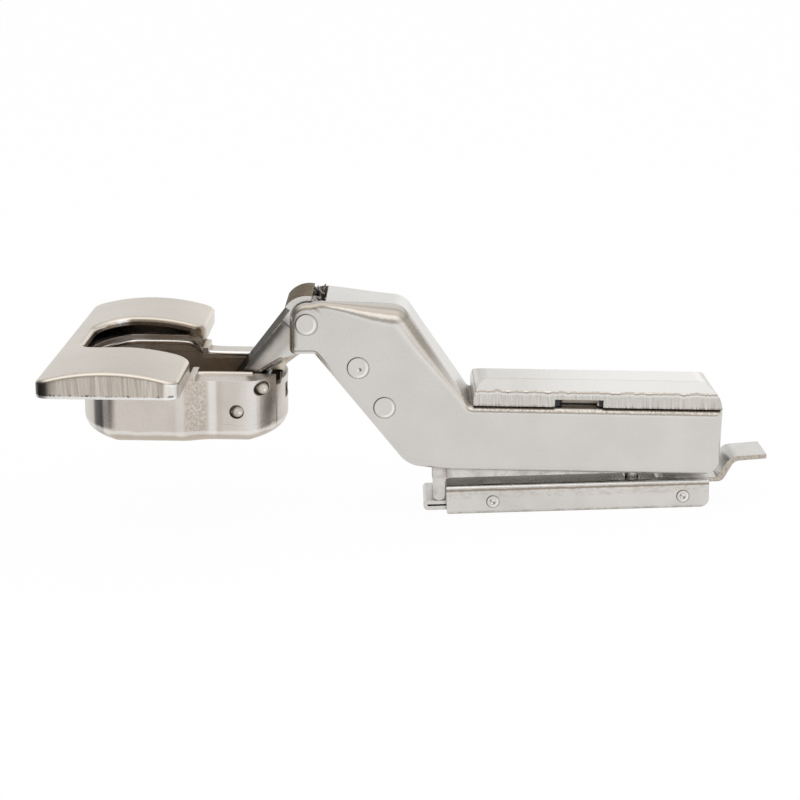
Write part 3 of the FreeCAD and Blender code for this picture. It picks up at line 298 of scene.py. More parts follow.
class HingeLooks(bpy.types.PropertyGroup):
    """Colours and marks of the hinge's finishes."""

    nickel: bpy.props.FloatVectorProperty(
        name="Nickel", description="Colour of the nickel plate on the arm and its clip",
        subtype="COLOR", size=3, min=0, max=1, default=(0.65, 0.63, 0.60))
    cover_nickel: bpy.props.FloatVectorProperty(
        name="Cover nickel", description="Colour of the plate on the cup's cover",
        subtype="COLOR", size=3, min=0, max=1, default=(0.615, 0.56, 0.49))
    cup_nickel: bpy.props.FloatVectorProperty(
        name="Cup nickel", description="Colour of the plate on the drawn cup",
        subtype="COLOR", size=3, min=0, max=1, default=(0.62, 0.565, 0.515))
    warm_nickel: bpy.props.FloatVectorProperty(
        name="Inner nickel", description="Colour of the darker plate on the links and insides",
        subtype="COLOR", size=3, min=0, max=1, default=(0.60, 0.54, 0.46))
    wire: bpy.props.FloatVectorProperty(
        name="Spring wire", description="Colour of the oiled spring wire",
        subtype="COLOR", size=3, min=0, max=1, default=(0.20, 0.18, 0.16))
    plastic: bpy.props.FloatVectorProperty(
        name="Plastic", description="Colour of the clip under the cap",
        subtype="COLOR", size=3, min=0, max=1, default=(0.012, 0.012, 0.013))
    satin: bpy.props.FloatProperty(
        name="Satin", description="Roughness of the plated sheet",
        subtype="FACTOR", min=0.05, max=1, default=0.25)
    grain_depth: bpy.props.FloatProperty(
        name="Grain depth", description="Depth of the sheet's grain in millimetres",
        min=0, max=0.2, default=0.007)
    draw_depth: bpy.props.FloatProperty(
        name="Draw mark depth", description="Depth of the marks on drawn walls in millimetres",
        min=0, max=0.2, default=0.02)
    edge_round: bpy.props.FloatProperty(
        name="Edge round", description="Radius of the softened sheet edges in millimetres",
        min=0.01, max=1, default=0.18)


class HingeStudio(bpy.types.PropertyGroup):
    """Camera, floor and lamps."""

    camera_place: bpy.props.FloatVectorProperty(
        name="Camera place", description="Where the camera stands",
        subtype="TRANSLATION", unit="LENGTH", size=3, default=(-0.02945, -0.29015, 0.09822))
    camera_turn: bpy.props.FloatProperty(
        name="Camera turn", description="Turn of the view to the left",
        subtype="ANGLE", default=math.radians(0.49))
    camera_dip: bpy.props.FloatProperty(
        name="Camera dip", description="How far the camera looks down",
        subtype="ANGLE", default=math.radians(15.26))
    camera_roll: bpy.props.FloatProperty(
        name="Camera roll", description="Roll of the camera about its view",
        subtype="ANGLE", default=math.radians(-1.82))
    focal_pixels: bpy.props.FloatProperty(
        name="Focal length", description="Focal length in pixels of the picture",
        min=100, default=1732.0)
    floor_colour: bpy.props.FloatVectorProperty(
        name="Floor", description="Colour of the floor",
        subtype="COLOR", size=3, min=0, max=1, default=(0.86, 0.86, 0.86))
    key_power: bpy.props.FloatProperty(
        name="Key lamp", description="Power of the large lamp in watts",
        unit="POWER", min=0, default=0.55)
    fill_power: bpy.props.FloatProperty(
        name="Fill lamp", description="Power of the lamp on the other side in watts",
        unit="POWER", min=0, default=0.15)


def looks():
    return bpy.context.scene.hinge_looks


def studio():
    return bpy.context.scene.hinge_studio


def tilted(plate, origin, tilt):
    """How far along a tilted piece, and how far above its origin, each point lies."""
    ahead = Vector((math.cos(tilt), 0.0, -math.sin(tilt)))
    upward = Vector((math.sin(tilt), 0.0, math.cos(tilt)))
    middle = Vector(origin)
    return (plate.along(plate.where, ahead, ahead.dot(middle)),
            plate.along(plate.where, upward, upward.dot(middle)),
            plate.along(plate.facing, upward))


def middle_of(name):
    """Middle of a CAD node in millimetres."""
    low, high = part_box(name)
    return tuple((a + b) / 2 / MM for a, b in zip(low, high))


def dress(material, *names):
    """Gives CAD nodes a finish."""
    for name in names:
        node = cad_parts[name]
        node.data.materials.clear()
        node.data.materials.append(material)
        for polygon in node.data.polygons:
            polygon.material_index = 0


PIVOT_FRONT = middle_of("rivet_front")
PIN_LOWER = middle_of("link_pin_lower")

# In the tables below, a place is (middle, half width, soft edge) and a rise is (nothing, full).
# Both are in millimetres, except for slopes, which are cosines of the way a face looks. A band
# is a place with the colour and the share of its tint.

CUP_WALL_SLOPE = (0.3, 0.8)
CUP_FLAT_SLOPE = (0.6, 0.9)
CUP_INSIDE = (-4.0, -2.0)
CUP_STEP = (3.0, 1.3, 0.8)
CUP_STEP_SIDE = (11.6, 12.2)
CUP_STEP_DEPTH = 0.07
CUP_INSIDE_DEPTH = 0.06
CUP_DRAWS = (4.0, 4.0, 0.25)
CUP_BANDS = (
    (-13.5, 0.55, 0.75, SOOT_AND_SHADE, 0.92),  # painted dark reflection where the side turns to the round front end
    (-11.9, 0.3, 0.5, WHITE, 0.25),  # painted highlight beside that turn
    (0.4, 0.3, 0.7, WHITE, 0.22),  # painted highlight on the front edge of the step
    (5.7, 0.35, 0.6, WHITE, 0.5),  # painted highlight on the fold behind the step
    (6.8, 0.2, 0.5, BROWN, 0.10))  # line behind the fold
# Painted light on the side near its rear end.
CUP_REAR_PAINTED_LIGHT = (9.0, 12.5)
CUP_REAR_END = (13.4, 13.6)
# Painted tan shade round the cup's foot, for the shaded floor it mirrors, with a painted glint at
# its upper edge.
CUP_FOOT = (-10.9, -9.2)
CUP_FOOT_GLINT = (-9.9, 0.15, 0.4)
CUP_FOOT_SWING = 1.2
CUP_SCRATCHES = (0.25, 0.25, 7.0)
CUP_SCRATCH_HEIGHT = (-8.7, 0.5, 0.3)
CUP_SCRATCH_START = (4.0, 7.0)
CUP_INSIDE_GLINT = (-11.0, 1.0, 2.5)
CUP_INSIDE_TOP = (-3.5, -1.0)
CUP_INSIDE_LOW = (-5.5, -2.0)
CUP_WELL_REACH = 6.0
CUP_WELL_SHADE = (0.1, 0.45)


def cup_finish():
    """Drawn cup: upright draw marks, peened steps at its sides and a brown, rough inside, with
    painted highlights, painted shade and painted dark reflections.
    """
    look = looks()
    plate = Plate("cup_plate", look.cup_nickel, look.satin)
    plate.toned(0.05)
    along, above, upward = tilted(plate, CUP_ORIGIN, CUP_TILT)
    outward = plate.along(plate.facing, plate.vector("SUBTRACT", plate.where, CUP_ORIGIN))
    inner = outward.below(*CUP_INSIDE)
    outer = 1.0 - inner
    side = abs(upward).below(*CUP_WALL_SLOPE) * outer
    step = along.near(*CUP_STEP) * plate.aside().above(*CUP_STEP_SIDE) * side
    draws = plate.noise(1.0, 3.0, 0.7, CUP_DRAWS)
    peel = plate.noise(3.6, 3.0, 0.6)
    grit = plate.noise(2.3, 2.0, 0.6)
    plate.relief(draws * side, look.draw_depth)
    plate.relief(peel * step, CUP_STEP_DEPTH)
    plate.relief(peel * inner, CUP_INSIDE_DEPTH)
    plate.tint(step, TAN, 0.25)
    plate.tint(step * grit.above(0.48, 0.60), BROWN, 0.22)
    plate.tint(step * grit.below(0.36, 0.46), WHITE, 0.25)
    # Bands across the side: a painted dark reflection, painted highlights and a brown line.
    plate.bands(along, side, CUP_BANDS)
    # Painted light near the rear end of the side.
    plate.tint(along.above(*CUP_REAR_PAINTED_LIGHT) * side * along.below(*CUP_REAR_END), WHITE, 0.45)
    plate.tint(draws.above(0.5, 0.75) * side, TAN, 0.10)
    # Painted tan shade round the cup's foot, and a painted glint at its upper edge.
    foot = above.wavering(plate.noise(0.3, 2.0), CUP_FOOT_SWING)
    plate.tint(foot.below(*CUP_FOOT) * outer, TAN, 0.55)
    plate.tint(foot.near(*CUP_FOOT_GLINT) * outer, WHITE, 0.45)
    scratches = plate.noise(1.0, 2.0, 0.6, CUP_SCRATCHES).above(0.56, 0.66)
    scratched = above.near(*CUP_SCRATCH_HEIGHT) * along.above(*CUP_SCRATCH_START)
    plate.tint(scratches * scratched, BROWN, 0.35)
    plate.tint(inner, TAN, 0.60)
    plate.tint(inner * peel.above(0.45, 0.7), BROWN, 0.35)
    # Painted highlight high on the inside.
    glint = along.near(*CUP_INSIDE_GLINT) * above.above(*CUP_INSIDE_TOP)
    plate.tint(inner * glint, WHITE, 0.5)
    plate.tint(inner * above.below(*CUP_INSIDE_LOW), BROWN, 0.35)
    # Painted shade on the upward faces deep in the cup, found by ambient occlusion.
    well_shade = plate.open_sky(CUP_WELL_REACH).below(*CUP_WELL_SHADE)
    plate.tint(well_shade * upward.above(*CUP_FLAT_SLOPE), SOOT_AND_SHADE, 0.9)
    plate.dull(step, 0.08)
    plate.dull(inner, 0.1)
    plate.paint_crease_shade(1.0, 0.8)
    return plate.done()


RIM_TOP_SLOPE = (0.2, 0.6)
RIM_UNDER_SLOPE = (-0.3, 0.15)


def cup_rim_finish(end, top, top_share):
    """Rolled rim round the cup's opening, with painted light on top and painted brown shade below.
    """
    look = looks()
    plate = Plate("cup_rim_%s_plate" % end, look.cup_nickel, look.satin * 0.7, 0.02)
    plate.toned(0.05)
    upward = plate.along(plate.facing, UPRIGHT)
    # Painted light on the upward faces.
    plate.tint(upward.above(*RIM_TOP_SLOPE), top, top_share)
    # Painted brown shade on the faces that look down.
    plate.tint(upward.below(*RIM_UNDER_SLOPE), BROWN, 0.75)
    return plate.done()


COVER_WALL_SLOPE = (0.25, 0.6)
COVER_MOUTH_SLOPE = (0.45, 0.8)
COVER_MOUTH_LIP_SLOPE = (-0.5, -0.1)
COVER_UNDER_SLOPE = (-0.7, -0.4)
COVER_TURN = (0.42, 0.1, 0.14)
COVER_TURN_SIDE = (25.5, 26.5)
COVER_SKIRT = (26.6, 27.6)
COVER_CORNER = (23.0, 26.0)
COVER_MOUTH = (11.3, 0.9, 0.3)
COVER_LINES = (3.4, 3.4, 0.12)
COVER_FRONT = (-18.8, -16.9)
COVER_BANDS = (
    (1.0, 0.7, 0.8, WHITE, 0.6),  # painted highlight on the rear corner
    (-0.6, 0.1, 0.5, BROWN, 0.25))  # line in front of it
COVER_LIP = (0.30, 0.16, 0.12)
COVER_FLECKS = (1.0, 1.0, 0.4)
COVER_FLECK_HEIGHT = (0.64, 0.12, 0.1)
COVER_MOUTH_GLINT = (-12.6, 0.5, 1.2)
COVER_REAR_SIDE = (11.3, 1.2, 0.3)
COVER_REAR = (0.6, 1.4)


def cover_finish():
    """Cup cover: satin top, drawn skirt with its trimmed lower edge, brown mouth wall, with
    painted highlights, painted shade and painted dark reflections.
    """
    look = looks()
    plate = Plate("cover_plate", look.cover_nickel, look.satin)
    plate.toned(0.035, 0.1)
    along, above, upward = tilted(plate, CUP_ORIGIN, CUP_TILT)
    aside = plate.aside()
    wall = abs(upward).below(*COVER_WALL_SLOPE)
    skirt = wall * aside.above(*COVER_SKIRT)
    mouth = upward.below(*COVER_MOUTH_SLOPE) * aside.near(*COVER_MOUTH)
    corner = wall * aside.above(*COVER_CORNER)
    # Painted dark reflection line where the top turns down into the skirt.
    plate.tint(upward.near(*COVER_TURN) * aside.above(*COVER_TURN_SIDE), BROWN, 0.55)
    plate.brushed(skirt, COVER_LINES, 0.9, (VIOLET_GREY, 0.16), 0.30, 0.22)
    # Painted dark reflection at the cover's front corner.
    plate.tint(corner * along.below(*COVER_FRONT), SOOT_AND_SHADE, 0.93)
    plate.bands(along, corner, COVER_BANDS)
    flecks = plate.noise(1.6, 2.0, 0.7, COVER_FLECKS).above(0.53, 0.60)
    plate.tint(above.near(*COVER_LIP) * skirt, WHITE, 0.8)
    plate.tint(flecks * above.near(*COVER_FLECK_HEIGHT) * skirt, SOOT_AND_SHADE, 0.7)
    plate.tint(mouth, BROWN, 0.75)
    # Painted highlights inside the mouth and on its lip.
    plate.tint(mouth * along.near(*COVER_MOUTH_GLINT), WHITE, 0.75)
    plate.tint(mouth * upward.below(*COVER_MOUTH_LIP_SLOPE), WHITE, 0.6)
    plate.tint(aside.near(*COVER_REAR_SIDE) * along.above(*COVER_REAR) * wall, TAN, 0.5)
    # Painted brown shade on the faces that look down.
    plate.tint(upward.below(*COVER_UNDER_SLOPE), BROWN, 0.5)
    plate.paint_crease_shade(0.8, 0.9)
    return plate.done()


# The link's places lie along it from the lower pin, or over it from the line of its two pins.
LINK_SPAN = (14.5, 17.5)
LINK_WEB_SLOPE = (0.6, 0.9)
LINK_SWING = 0.7
LINK_DARK_REFLECTION_RISE = (1.5, 3.1)
LINK_FOLD_BROWN = (1.2, 0.5, 1.2)
LINK_WEB_FAR = (-3.0, 3.0)
LINK_WEB_FAR_EDGE = (4.3, 5.0)
LINK_FOLD_EDGE = (3.35, 0.1, 0.15)
LINK_REFLECTION_BLOT_OVER = (-1.2, 1.2, 1.0)
LINK_REFLECTION_BLOT_PLACE = (5.6, 1.6, 1.4)
LINK_FOOT = (3.2, 6.0)
LINK_LOWER_EDGE = (-3.4, -2.2)
LINK_LOWER_EDGE_END = (9.0, 12.0)
LINK_CURL = (15.6, 16.4)
LINK_CURL_SLOPE = (0.3, 0.6)
LINK_SHEAR = (0.35, 6.0, 0.35)
LINK_SHEAR_DEPTH = 0.05
LINK_SEAM = (15.5, 0.12, 0.15)


def link_finish():
    """Outer link: painted dark reflection along its web and fold, painted blotches of reflection,
    and a brown foot near the cup.
    """
    look = looks()
    plate = Plate("link_plate", look.nickel, look.satin * 0.9)
    plate.fixed["Specular Tint"] = LINK_EDGE_TINT
    plate.toned(0.06)
    pivot, foot = Vector(PIVOT_FRONT), Vector(PIN_LOWER)
    run = (pivot - foot).normalized()
    side = Vector((-run.z, 0.0, run.x))
    fold = plate.along(plate.where, side, side.dot(pivot))
    place = plate.along(plate.where, run, run.dot(foot))
    across = plate.along(plate.where, ACROSS)
    smear = plate.noise(0.7, 2.0, 0.6)
    smeared = smear.above(0.35, 0.6)
    reach = fold + smear * LINK_SWING
    span = place.below(*LINK_SPAN)
    web = plate.along(plate.facing, side).above(*LINK_WEB_SLOPE)
    # Painted dark reflection towards the fold, ragged at its edge, with a brown line before it.
    plate.tint(reach.above(*LINK_DARK_REFLECTION_RISE) * span, SOOT_AND_SHADE, 0.92)
    plate.tint(reach.near(*LINK_FOLD_BROWN) * span, BROWN, 0.35)
    # Painted dark reflection on the web, darkest at its far side and tan at its far edge.
    plate.tint(web, BROWN, 0.7)
    plate.tint(web * across.above(*LINK_WEB_FAR), SOOT_AND_SHADE, 0.75)
    plate.tint(web * across.above(*LINK_WEB_FAR_EDGE), TAN, 0.6)
    plate.tint(fold.near(*LINK_FOLD_EDGE) * span * (1.0 - web) * smeared, TAN, 0.8)
    # Painted blotch of reflection on the plate.
    blot = fold.near(*LINK_REFLECTION_BLOT_OVER) * place.near(*LINK_REFLECTION_BLOT_PLACE)
    plate.tint(blot * smear.above(0.2, 0.5), BROWN, 0.75)
    plate.tint(place.below(*LINK_FOOT) * smeared * (1.0 - blot), TAN, 0.55)
    plate.tint(fold.below(*LINK_LOWER_EDGE) * place.below(*LINK_LOWER_EDGE_END), TAN, 0.5)
    curl = place.above(*LINK_CURL) * plate.sideways().below(*LINK_CURL_SLOPE)
    shear = plate.noise(1.0, 2.0, 0.6, LINK_SHEAR)
    plate.relief(shear * curl, LINK_SHEAR_DEPTH)
    plate.tint(curl, PALE_GOLD, 0.9)
    plate.tint(curl * shear.above(0.45, 0.6), BROWN, 0.6)
    plate.tint(place.near(*LINK_SEAM), SOOT_AND_SHADE, 0.6)
    plate.paint_crease_shade(0.9, 0.85)
    return plate.done()


# The arm's lines follow slopes: its faces turn from looking up (0) to looking sideways (1). The
# lines are painted dark reflections.
ARM_RUB = (0.35, 3.0, 3.0)
ARM_RUB_DEPTH = 0.004
ARM_LINE_SWING = 0.06
ARM_TOP_SLOPE = (0.12, 0.35)
ARM_SIDE_SLOPE = (0.5, 0.8)
ARM_CHEEK_SLOPE = (0.85, 0.95)
ARM_BANDS = (
    (0.93, 0.02, 0.03, BROWN, 0.45),  # painted dark reflection line at the bevel's foot
    (0.80, 0.05, 0.08, TAN, 0.35),  # painted warm reflection above it
    (0.35, 0.05, 0.12, BROWN, 0.28))  # painted dark reflection line at the bevel's top
ARM_SEAT_START = (-37.5, -36.5)
ARM_SEAT_HEIGHT = (9.15, 0.12, 0.2)
ARM_TIP = (-62.5, -61.0)
ARM_TIP_TURN = (0.86, 0.03, 0.03)
ARM_HEAD = (-46.0, -40.0)
ARM_HEAD_TURN = (0.62, 0.12, 0.10)
ARM_EAR_HEIGHT = (23.6, 24.6)
ARM_EAR_END = (-64.0, -62.5)
ARM_EAR_BANDS = (
    (3.15, 0.10, 0.16, BROWN, 0.5),  # painted shade in an arc over the front rivet
    (3.55, 0.10, 0.12, WHITE, 0.5))  # painted highlight in an arc round that one
ARM_CRANK_HEIGHT = (11.6, 12.6)
ARM_CRANK_START = (-36.0, -33.0)
ARM_CRANK_TURN = (0.62, 0.04, 0.06)


def arm_finish():
    """Arm: even satin plate with barely visible grain, painted dark reflection lines at its
    bevels, and painted light and shade round the front rivet.
    """
    look = looks()
    plate = Plate("arm_plate", look.nickel, look.satin)
    plate.toned(0.025, 0.12)
    along, above, upward = tilted(plate, ARM_ORIGIN, ARM_TILT)
    sideways = plate.sideways()
    rub = plate.noise(1.0, 3.0, 0.7, ARM_RUB)
    plate.relief(rub, ARM_RUB_DEPTH)
    plate.tint(rub.above(0.5, 0.8), TAN, 0.08)
    ragged = plate.noise(2.2, 3.0, 0.7)
    turn = sideways.wavering(ragged, ARM_LINE_SWING)
    bevel = upward.above(*ARM_TOP_SLOPE)
    # Painted dark reflection lines across the top bevel.
    plate.bands(turn, bevel, ARM_BANDS)
    seat = along.above(*ARM_SEAT_START) * above.near(*ARM_SEAT_HEIGHT)
    seam = ragged.above(0.42, 0.6) * sideways.above(*ARM_SIDE_SLOPE)
    plate.tint(seat * seam, BROWN, 0.5)
    # Painted dark reflection lines on the bevel at the tip and at the head.
    plate.tint(turn.near(*ARM_TIP_TURN) * along.below(*ARM_TIP), BROWN, 0.7)
    plate.tint(turn.near(*ARM_HEAD_TURN) * along.below(*ARM_HEAD) * bevel, BROWN, 0.55)
    ear = above.above(*ARM_EAR_HEIGHT) * along.below(*ARM_EAR_END)
    cheek = ear * sideways.above(*ARM_CHEEK_SLOPE)
    # Painted shade and a painted highlight in arcs round the front rivet.
    plate.bands(plate.from_axis(PIVOT_FRONT), cheek, ARM_EAR_BANDS)
    crank = above.above(*ARM_CRANK_HEIGHT) * along.above(*ARM_CRANK_START)
    # Painted dark reflection line on the crank's bevel.
    plate.tint(turn.near(*ARM_CRANK_TURN) * crank * bevel, BROWN, 0.4)
    plate.paint_crease_shade(1.0, 0.8)
    return plate.done()


CAP_TOP_SLOPE = (0.9, 0.98)
CAP_WALL_SLOPE = (0.2, 0.5)
CAP_FRONT = (-36.0, -12.0)
CAP_LINES = (3.6, 3.6, 0.2)
CAP_WAVES = (1.0, 0.0, 0.0)
CAP_WAVE_SWING = 1.2
CAP_UPPER_LINE = (12.35, 0.08, 0.16)
CAP_UPPER_GLINT = (12.05, 0.1, 0.2)
CAP_LOWER_EDGE = (9.95, 10.2)
CAP_BEVEL_SLOPE = (0.82, 0.04, 0.06)


def cap_finish():
    """Cap: fine upright brushing on its walls under a wavy brown line, bright bevels, a painted
    highlight on its top face and a painted glint below the line.
    """
    look = looks()
    plate = Plate("cap_plate", shade(look.nickel, 0.98), look.satin)
    plate.toned(0.03, 0.1)
    along, above, upward = tilted(plate, ARM_ORIGIN, ARM_TILT)
    # Painted highlight on the top face.
    plate.tint(upward.above(*CAP_TOP_SLOPE) * along.above(*CAP_FRONT), WHITE, 0.5)
    wall = abs(upward).below(*CAP_WALL_SLOPE)
    lines = plate.brushed(wall, CAP_LINES, 0.7, (TAN, 0.14), 0.26, 0.3)
    wave = above.wavering(plate.noise(0.35, 3.0, 0.65, CAP_WAVES), CAP_WAVE_SWING)
    plate.tint(wave.near(*CAP_UPPER_LINE), BROWN, 0.6)
    # Painted glint just below the brown line.
    plate.tint(wave.near(*CAP_UPPER_GLINT) * wall, WHITE, 0.4)
    plate.tint(wave.below(*CAP_LOWER_EDGE) * lines.above(0.4, 0.55) * wall, BROWN, 0.55)
    plate.tint(upward.near(*CAP_BEVEL_SLOPE) * lines.above(0.3, 0.6), TAN, 0.5)
    plate.paint_crease_shade(0.8, 0.85)
    return plate.done()


CLIP_RAGS = (0.5, 1.0, 1.0)
CLIP_LINE_SWING = 0.35
CLIP_LINE = (4.15, 0.09, 0.2)
CLIP_SMEAR = (3.4, 0.5, 0.5)
CLIP_FOOT = (0.25, 0.55)
CLIP_SIDE_SLOPE = (0.8, 0.95)
CLIP_EDGE_SLOPE = (0.6, 0.1, 0.2)


def clip_finish():
    """Clip channel and hook: bright plate with a brown line below the rounded top edge, and a
    painted highlight on its rounded edges.
    """
    look = looks()
    plate = Plate("clip_plate", look.nickel, look.satin)
    plate.toned(0.04, 0.2)
    height = plate.along(plate.where, UPRIGHT)
    sideways = plate.sideways()
    ragged = plate.noise(1.8, 3.0, 0.7, CLIP_RAGS)
    line = height.wavering(ragged, CLIP_LINE_SWING)
    plate.tint(line.near(*CLIP_LINE) * sideways.above(*CLIP_SIDE_SLOPE), BROWN, 0.8)
    plate.tint(line.near(*CLIP_SMEAR) * ragged.above(0.4, 0.65) * sideways, TAN, 0.35)
    # Painted highlight on the rounded edges.
    plate.tint(sideways.near(*CLIP_EDGE_SLOPE), WHITE, 0.5)
    plate.tint(height.below(*CLIP_FOOT) * ragged.above(0.4, 0.6), BROWN, 0.35)
    plate.paint_crease_shade(1.0, 0.85)
    return plate.done()


LEVER_SIDE_SLOPE = (0.5, 0.9)
LEVER_SHEAR = (3.0, 1.0, 3.0)
LEVER_SHEAR_DEPTH = 0.03
LEVER_FRONT = (18.5, 21.0)


def lever_finish():
    """Release lever: pale blade with its sheared edges darker and a brown front end."""
    look = looks()
    plate = Plate("lever_plate", look.nickel, look.satin)
    plate.toned(0.04, 0.2)
    edges = plate.sideways().above(*LEVER_SIDE_SLOPE)
    shear = plate.noise(1.0, 3.0, 0.7, LEVER_SHEAR)
    plate.relief(shear * edges, LEVER_SHEAR_DEPTH)
    plate.tint(edges, TAN, 0.5)
    plate.tint(shear.above(0.4, 0.7) * edges, BROWN, 0.6)
    along = plate.along(plate.where, LENGTHWISE)
    plate.tint(along.below(*LEVER_FRONT) * (1.0 - edges), BROWN, 0.35)
    plate.paint_crease_shade(1.0, 0.85)
    return plate.done()


def inner_finish(name, colour, smoke):
    """Plate inside the hinge, with oil smoke in patches."""
    plate = Plate(name, colour, looks().satin)
    plate.toned(0.08, 0.3)
    patch = plate.noise(0.4, 3.0, 0.6)
    plate.tint(patch.above(0.45, 0.65), BROWN, smoke)
    plate.paint_crease_shade(1.2, 0.85)
    return plate.done()


# Heads and pin ends that show: node, radius and width of the dark ring in millimetres, the ring's
# share, and the dimple as (across, up, radius) from the middle. The ring is a brown joint,
# darkened by painted shade to the upper left.
PIN_DIMPLE = (0.15, -0.2, 0.34)
HEADS = (
    ("rivet_front", 1.9, 0.30, 0.75, None),
    ("rivet_middle", 1.9, 0.26, 0.75, (0.3, -0.3, 0.36)),
    ("rivet_rear", 1.9, 0.26, 0.75, None),
    ("clip_pin_front", 1.12, 0.2, 0.8, PIN_DIMPLE),
    ("clip_pin_rear", 1.12, 0.2, 0.8, PIN_DIMPLE))
DIMPLE_DEPTH = 0.12
SUNK_PINS = ("link_pin_upper", "link_pin_lower")
SUNK_PIN_RADIUS = 1.12
HEAD_EDGE = 0.08


def head_finish(node, radius, ring, share, dimple):
    """End face of a rivet: a brown ring with painted shade to its upper left and a painted
    highlight to its lower right, and a dimple with painted shade and a painted glint where it has
    one.
    """
    look = looks()
    plate = Plate(node + "_plate", shade(look.nickel, 1.04), look.satin, HEAD_EDGE)
    plate.toned(0.02, 0.3)
    middle = Vector(middle_of(node))
    away = plate.from_axis(middle)
    lit = plate.along(plate.where, LEFT_UP, LEFT_UP.dot(middle))
    rim = away.above(radius - ring, radius - ring * 0.5)
    # Brown ring round the head, deepened by painted shade to the upper left.
    plate.tint(rim * (lit.above(-radius * 0.6, radius * 0.5) * 0.6 + 0.4), BROWN, share)
    plate.tint(rim * lit.above(radius * 0.2, radius * 0.9), SOOT_AND_SHADE, share)
    # Painted highlight inside the ring to the lower right.
    glow = away.near(radius - ring * 1.6, ring * 0.4, ring * 0.5)
    plate.tint(glow * lit.below(-radius * 0.7, 0.0), WHITE, 0.8)
    if dimple:
        across, up, size = dimple
        spot = plate.from_axis(middle + Vector((across, 0.0, up)))
        plate.relief(spot.above(0.0, size), DIMPLE_DEPTH)
        # Painted shade in the dimple.
        plate.tint(spot.below(size * 0.6, size * 1.1), BROWN, 0.8)
        # Painted glint at the dimple's edge.
        glint = plate.from_axis(middle + Vector((across - size * 0.8, 0.0, up - size * 0.2)))
        plate.tint(glint.below(size * 0.3, size * 0.7), WHITE, 0.9)
    return plate.done()


def sunk_pin_finish(node, radius):
    """End of a pin that lies below the plate: painted shadow in the gap at its upper left, and a
    painted glint to its lower right.
    """
    plate = Plate(node + "_plate", looks().cup_nickel, looks().satin, HEAD_EDGE)
    plate.toned(0.06, 0.5)
    middle = Vector(middle_of(node))
    ragged = plate.noise(2.0, 2.0, 0.6)
    lower_right = plate.from_axis(middle - LEFT_UP * radius * 0.36)
    # Painted shadow in the gap to the upper left.
    plate.tint(lower_right.above(radius * 0.5, radius * 0.8), BROWN, 0.6)
    plate.tint(lower_right.above(radius * 0.7, radius * 1.0), SOOT_AND_SHADE, 0.97)
    plate.tint(ragged.above(0.5, 0.65), TAN, 0.5)
    # Painted shade in the gap round the pin.
    plate.tint(plate.from_axis(middle).above(radius * 0.9, radius), SOOT_AND_SHADE, 0.7)
    # Painted glint to the lower right.
    glint = plate.from_axis(middle - LEFT_UP * radius * 0.55)
    plate.tint(glint.below(radius * 0.08, radius * 0.3), WHITE, 0.8)
    return plate.done()


def screw_finish():
    """Zinc on the two setting screws, turned and lightly pitted."""
    plate = Plate("screw_plate", shade(looks().nickel, 0.85), 0.3, 0.08)
    plate.toned(0.08, 0.4)
    plate.paint_crease_shade(0.7, 0.8)
    return plate.done()


def wire_finish(name, colour):
    """Oiled wire with worn, brighter patches."""
    plate = Plate(name, colour, 0.3, 0.05)
    patches = plate.noise(2.2, 2.0, 0.6)
    plate.relief(plate.noise(9.0, 2.0, 0.6), 0.008)
    plate.tint(patches.above(0.45, 0.65), WHITE, 0.35)
    plate.dull(patches, 0.12)
    plate.paint_crease_shade(0.4, 0.7)
    return plate.done()


# The tan leaf behind the cap's notch: its place along the cap, and its height on a line that
# falls as the cap does.
WINDOW_RISE = (0.048, 0.0, 1.0)
WINDOW_PLACE = (-1.2, 2.9, 0.25)
WINDOW_HEIGHT = (19.45, 0.42, 0.12)
WINDOW_GLINT = (19.2, 19.45)


def plastic_finish():
    """Black plastic with a faint moulded grain and a tan window behind the cap's notch, with a
    painted glint on it.
    """
    plate = Plate("clip_plastic", looks().plastic, 0.4, 0.12)
    plate.fixed["Metallic"] = 0.0
    grain = plate.noise(7.0, 2.0, 0.6)
    plate.relief(grain, 0.01)
    plate.tint(grain.above(0.4, 0.7), WORN_BLACK, 0.6)
    plate.dull(grain, 0.1)
    along = plate.along(plate.where, LENGTHWISE)
    slope = plate.along(plate.where, WINDOW_RISE)
    window = along.near(*WINDOW_PLACE) * slope.near(*WINDOW_HEIGHT)
    plate.tint(window, TAN, 0.9)
    # Painted glint on the lower part of the window.
    plate.tint(window * slope.below(*WINDOW_GLINT), WHITE, 0.35)
    return plate.done()


def on_cup(along, aside, above):
    """Place in metres of a point given in the cup's own directions."""
    cosine, sine = math.cos(CUP_TILT), math.sin(CUP_TILT)
    return ((CUP_ORIGIN[0] + along * cosine + above * sine) * MM, aside * MM,
            (CUP_ORIGIN[2] - along * sine + above * cosine) * MM)


def in_metres(path):
    """The places of a path given in millimetres."""
    return [tuple(part * MM for part in place) for place in path]


def wire(name, points, radius, body, slot, material, taper=1.0):
    """Round wire or rolled edge through the points, thinning towards its end."""
    curve = bpy.data.curves.new(name, "CURVE")
    curve.dimensions = "3D"
    curve.bevel_depth = radius * MM
    curve.bevel_resolution = 4
    curve.use_fill_caps = True
    spline = curve.splines.new("NURBS")
    spline.points.add(len(points) - 1)
    for index, (knot, place) in enumerate(zip(spline.points, points)):
        knot.co = (*place, 1.0)
        knot.radius = 1.0 + (taper - 1.0) * index / (len(points) - 1)
    spline.order_u = 3
    spline.use_endpoint_u = True
    spline.resolution_u = 8
    curve.materials.append(material)
    piece = bpy.data.objects.new(name, curve)
    bpy.context.scene.collection.objects.link(piece)
    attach(piece, body)
    return piece


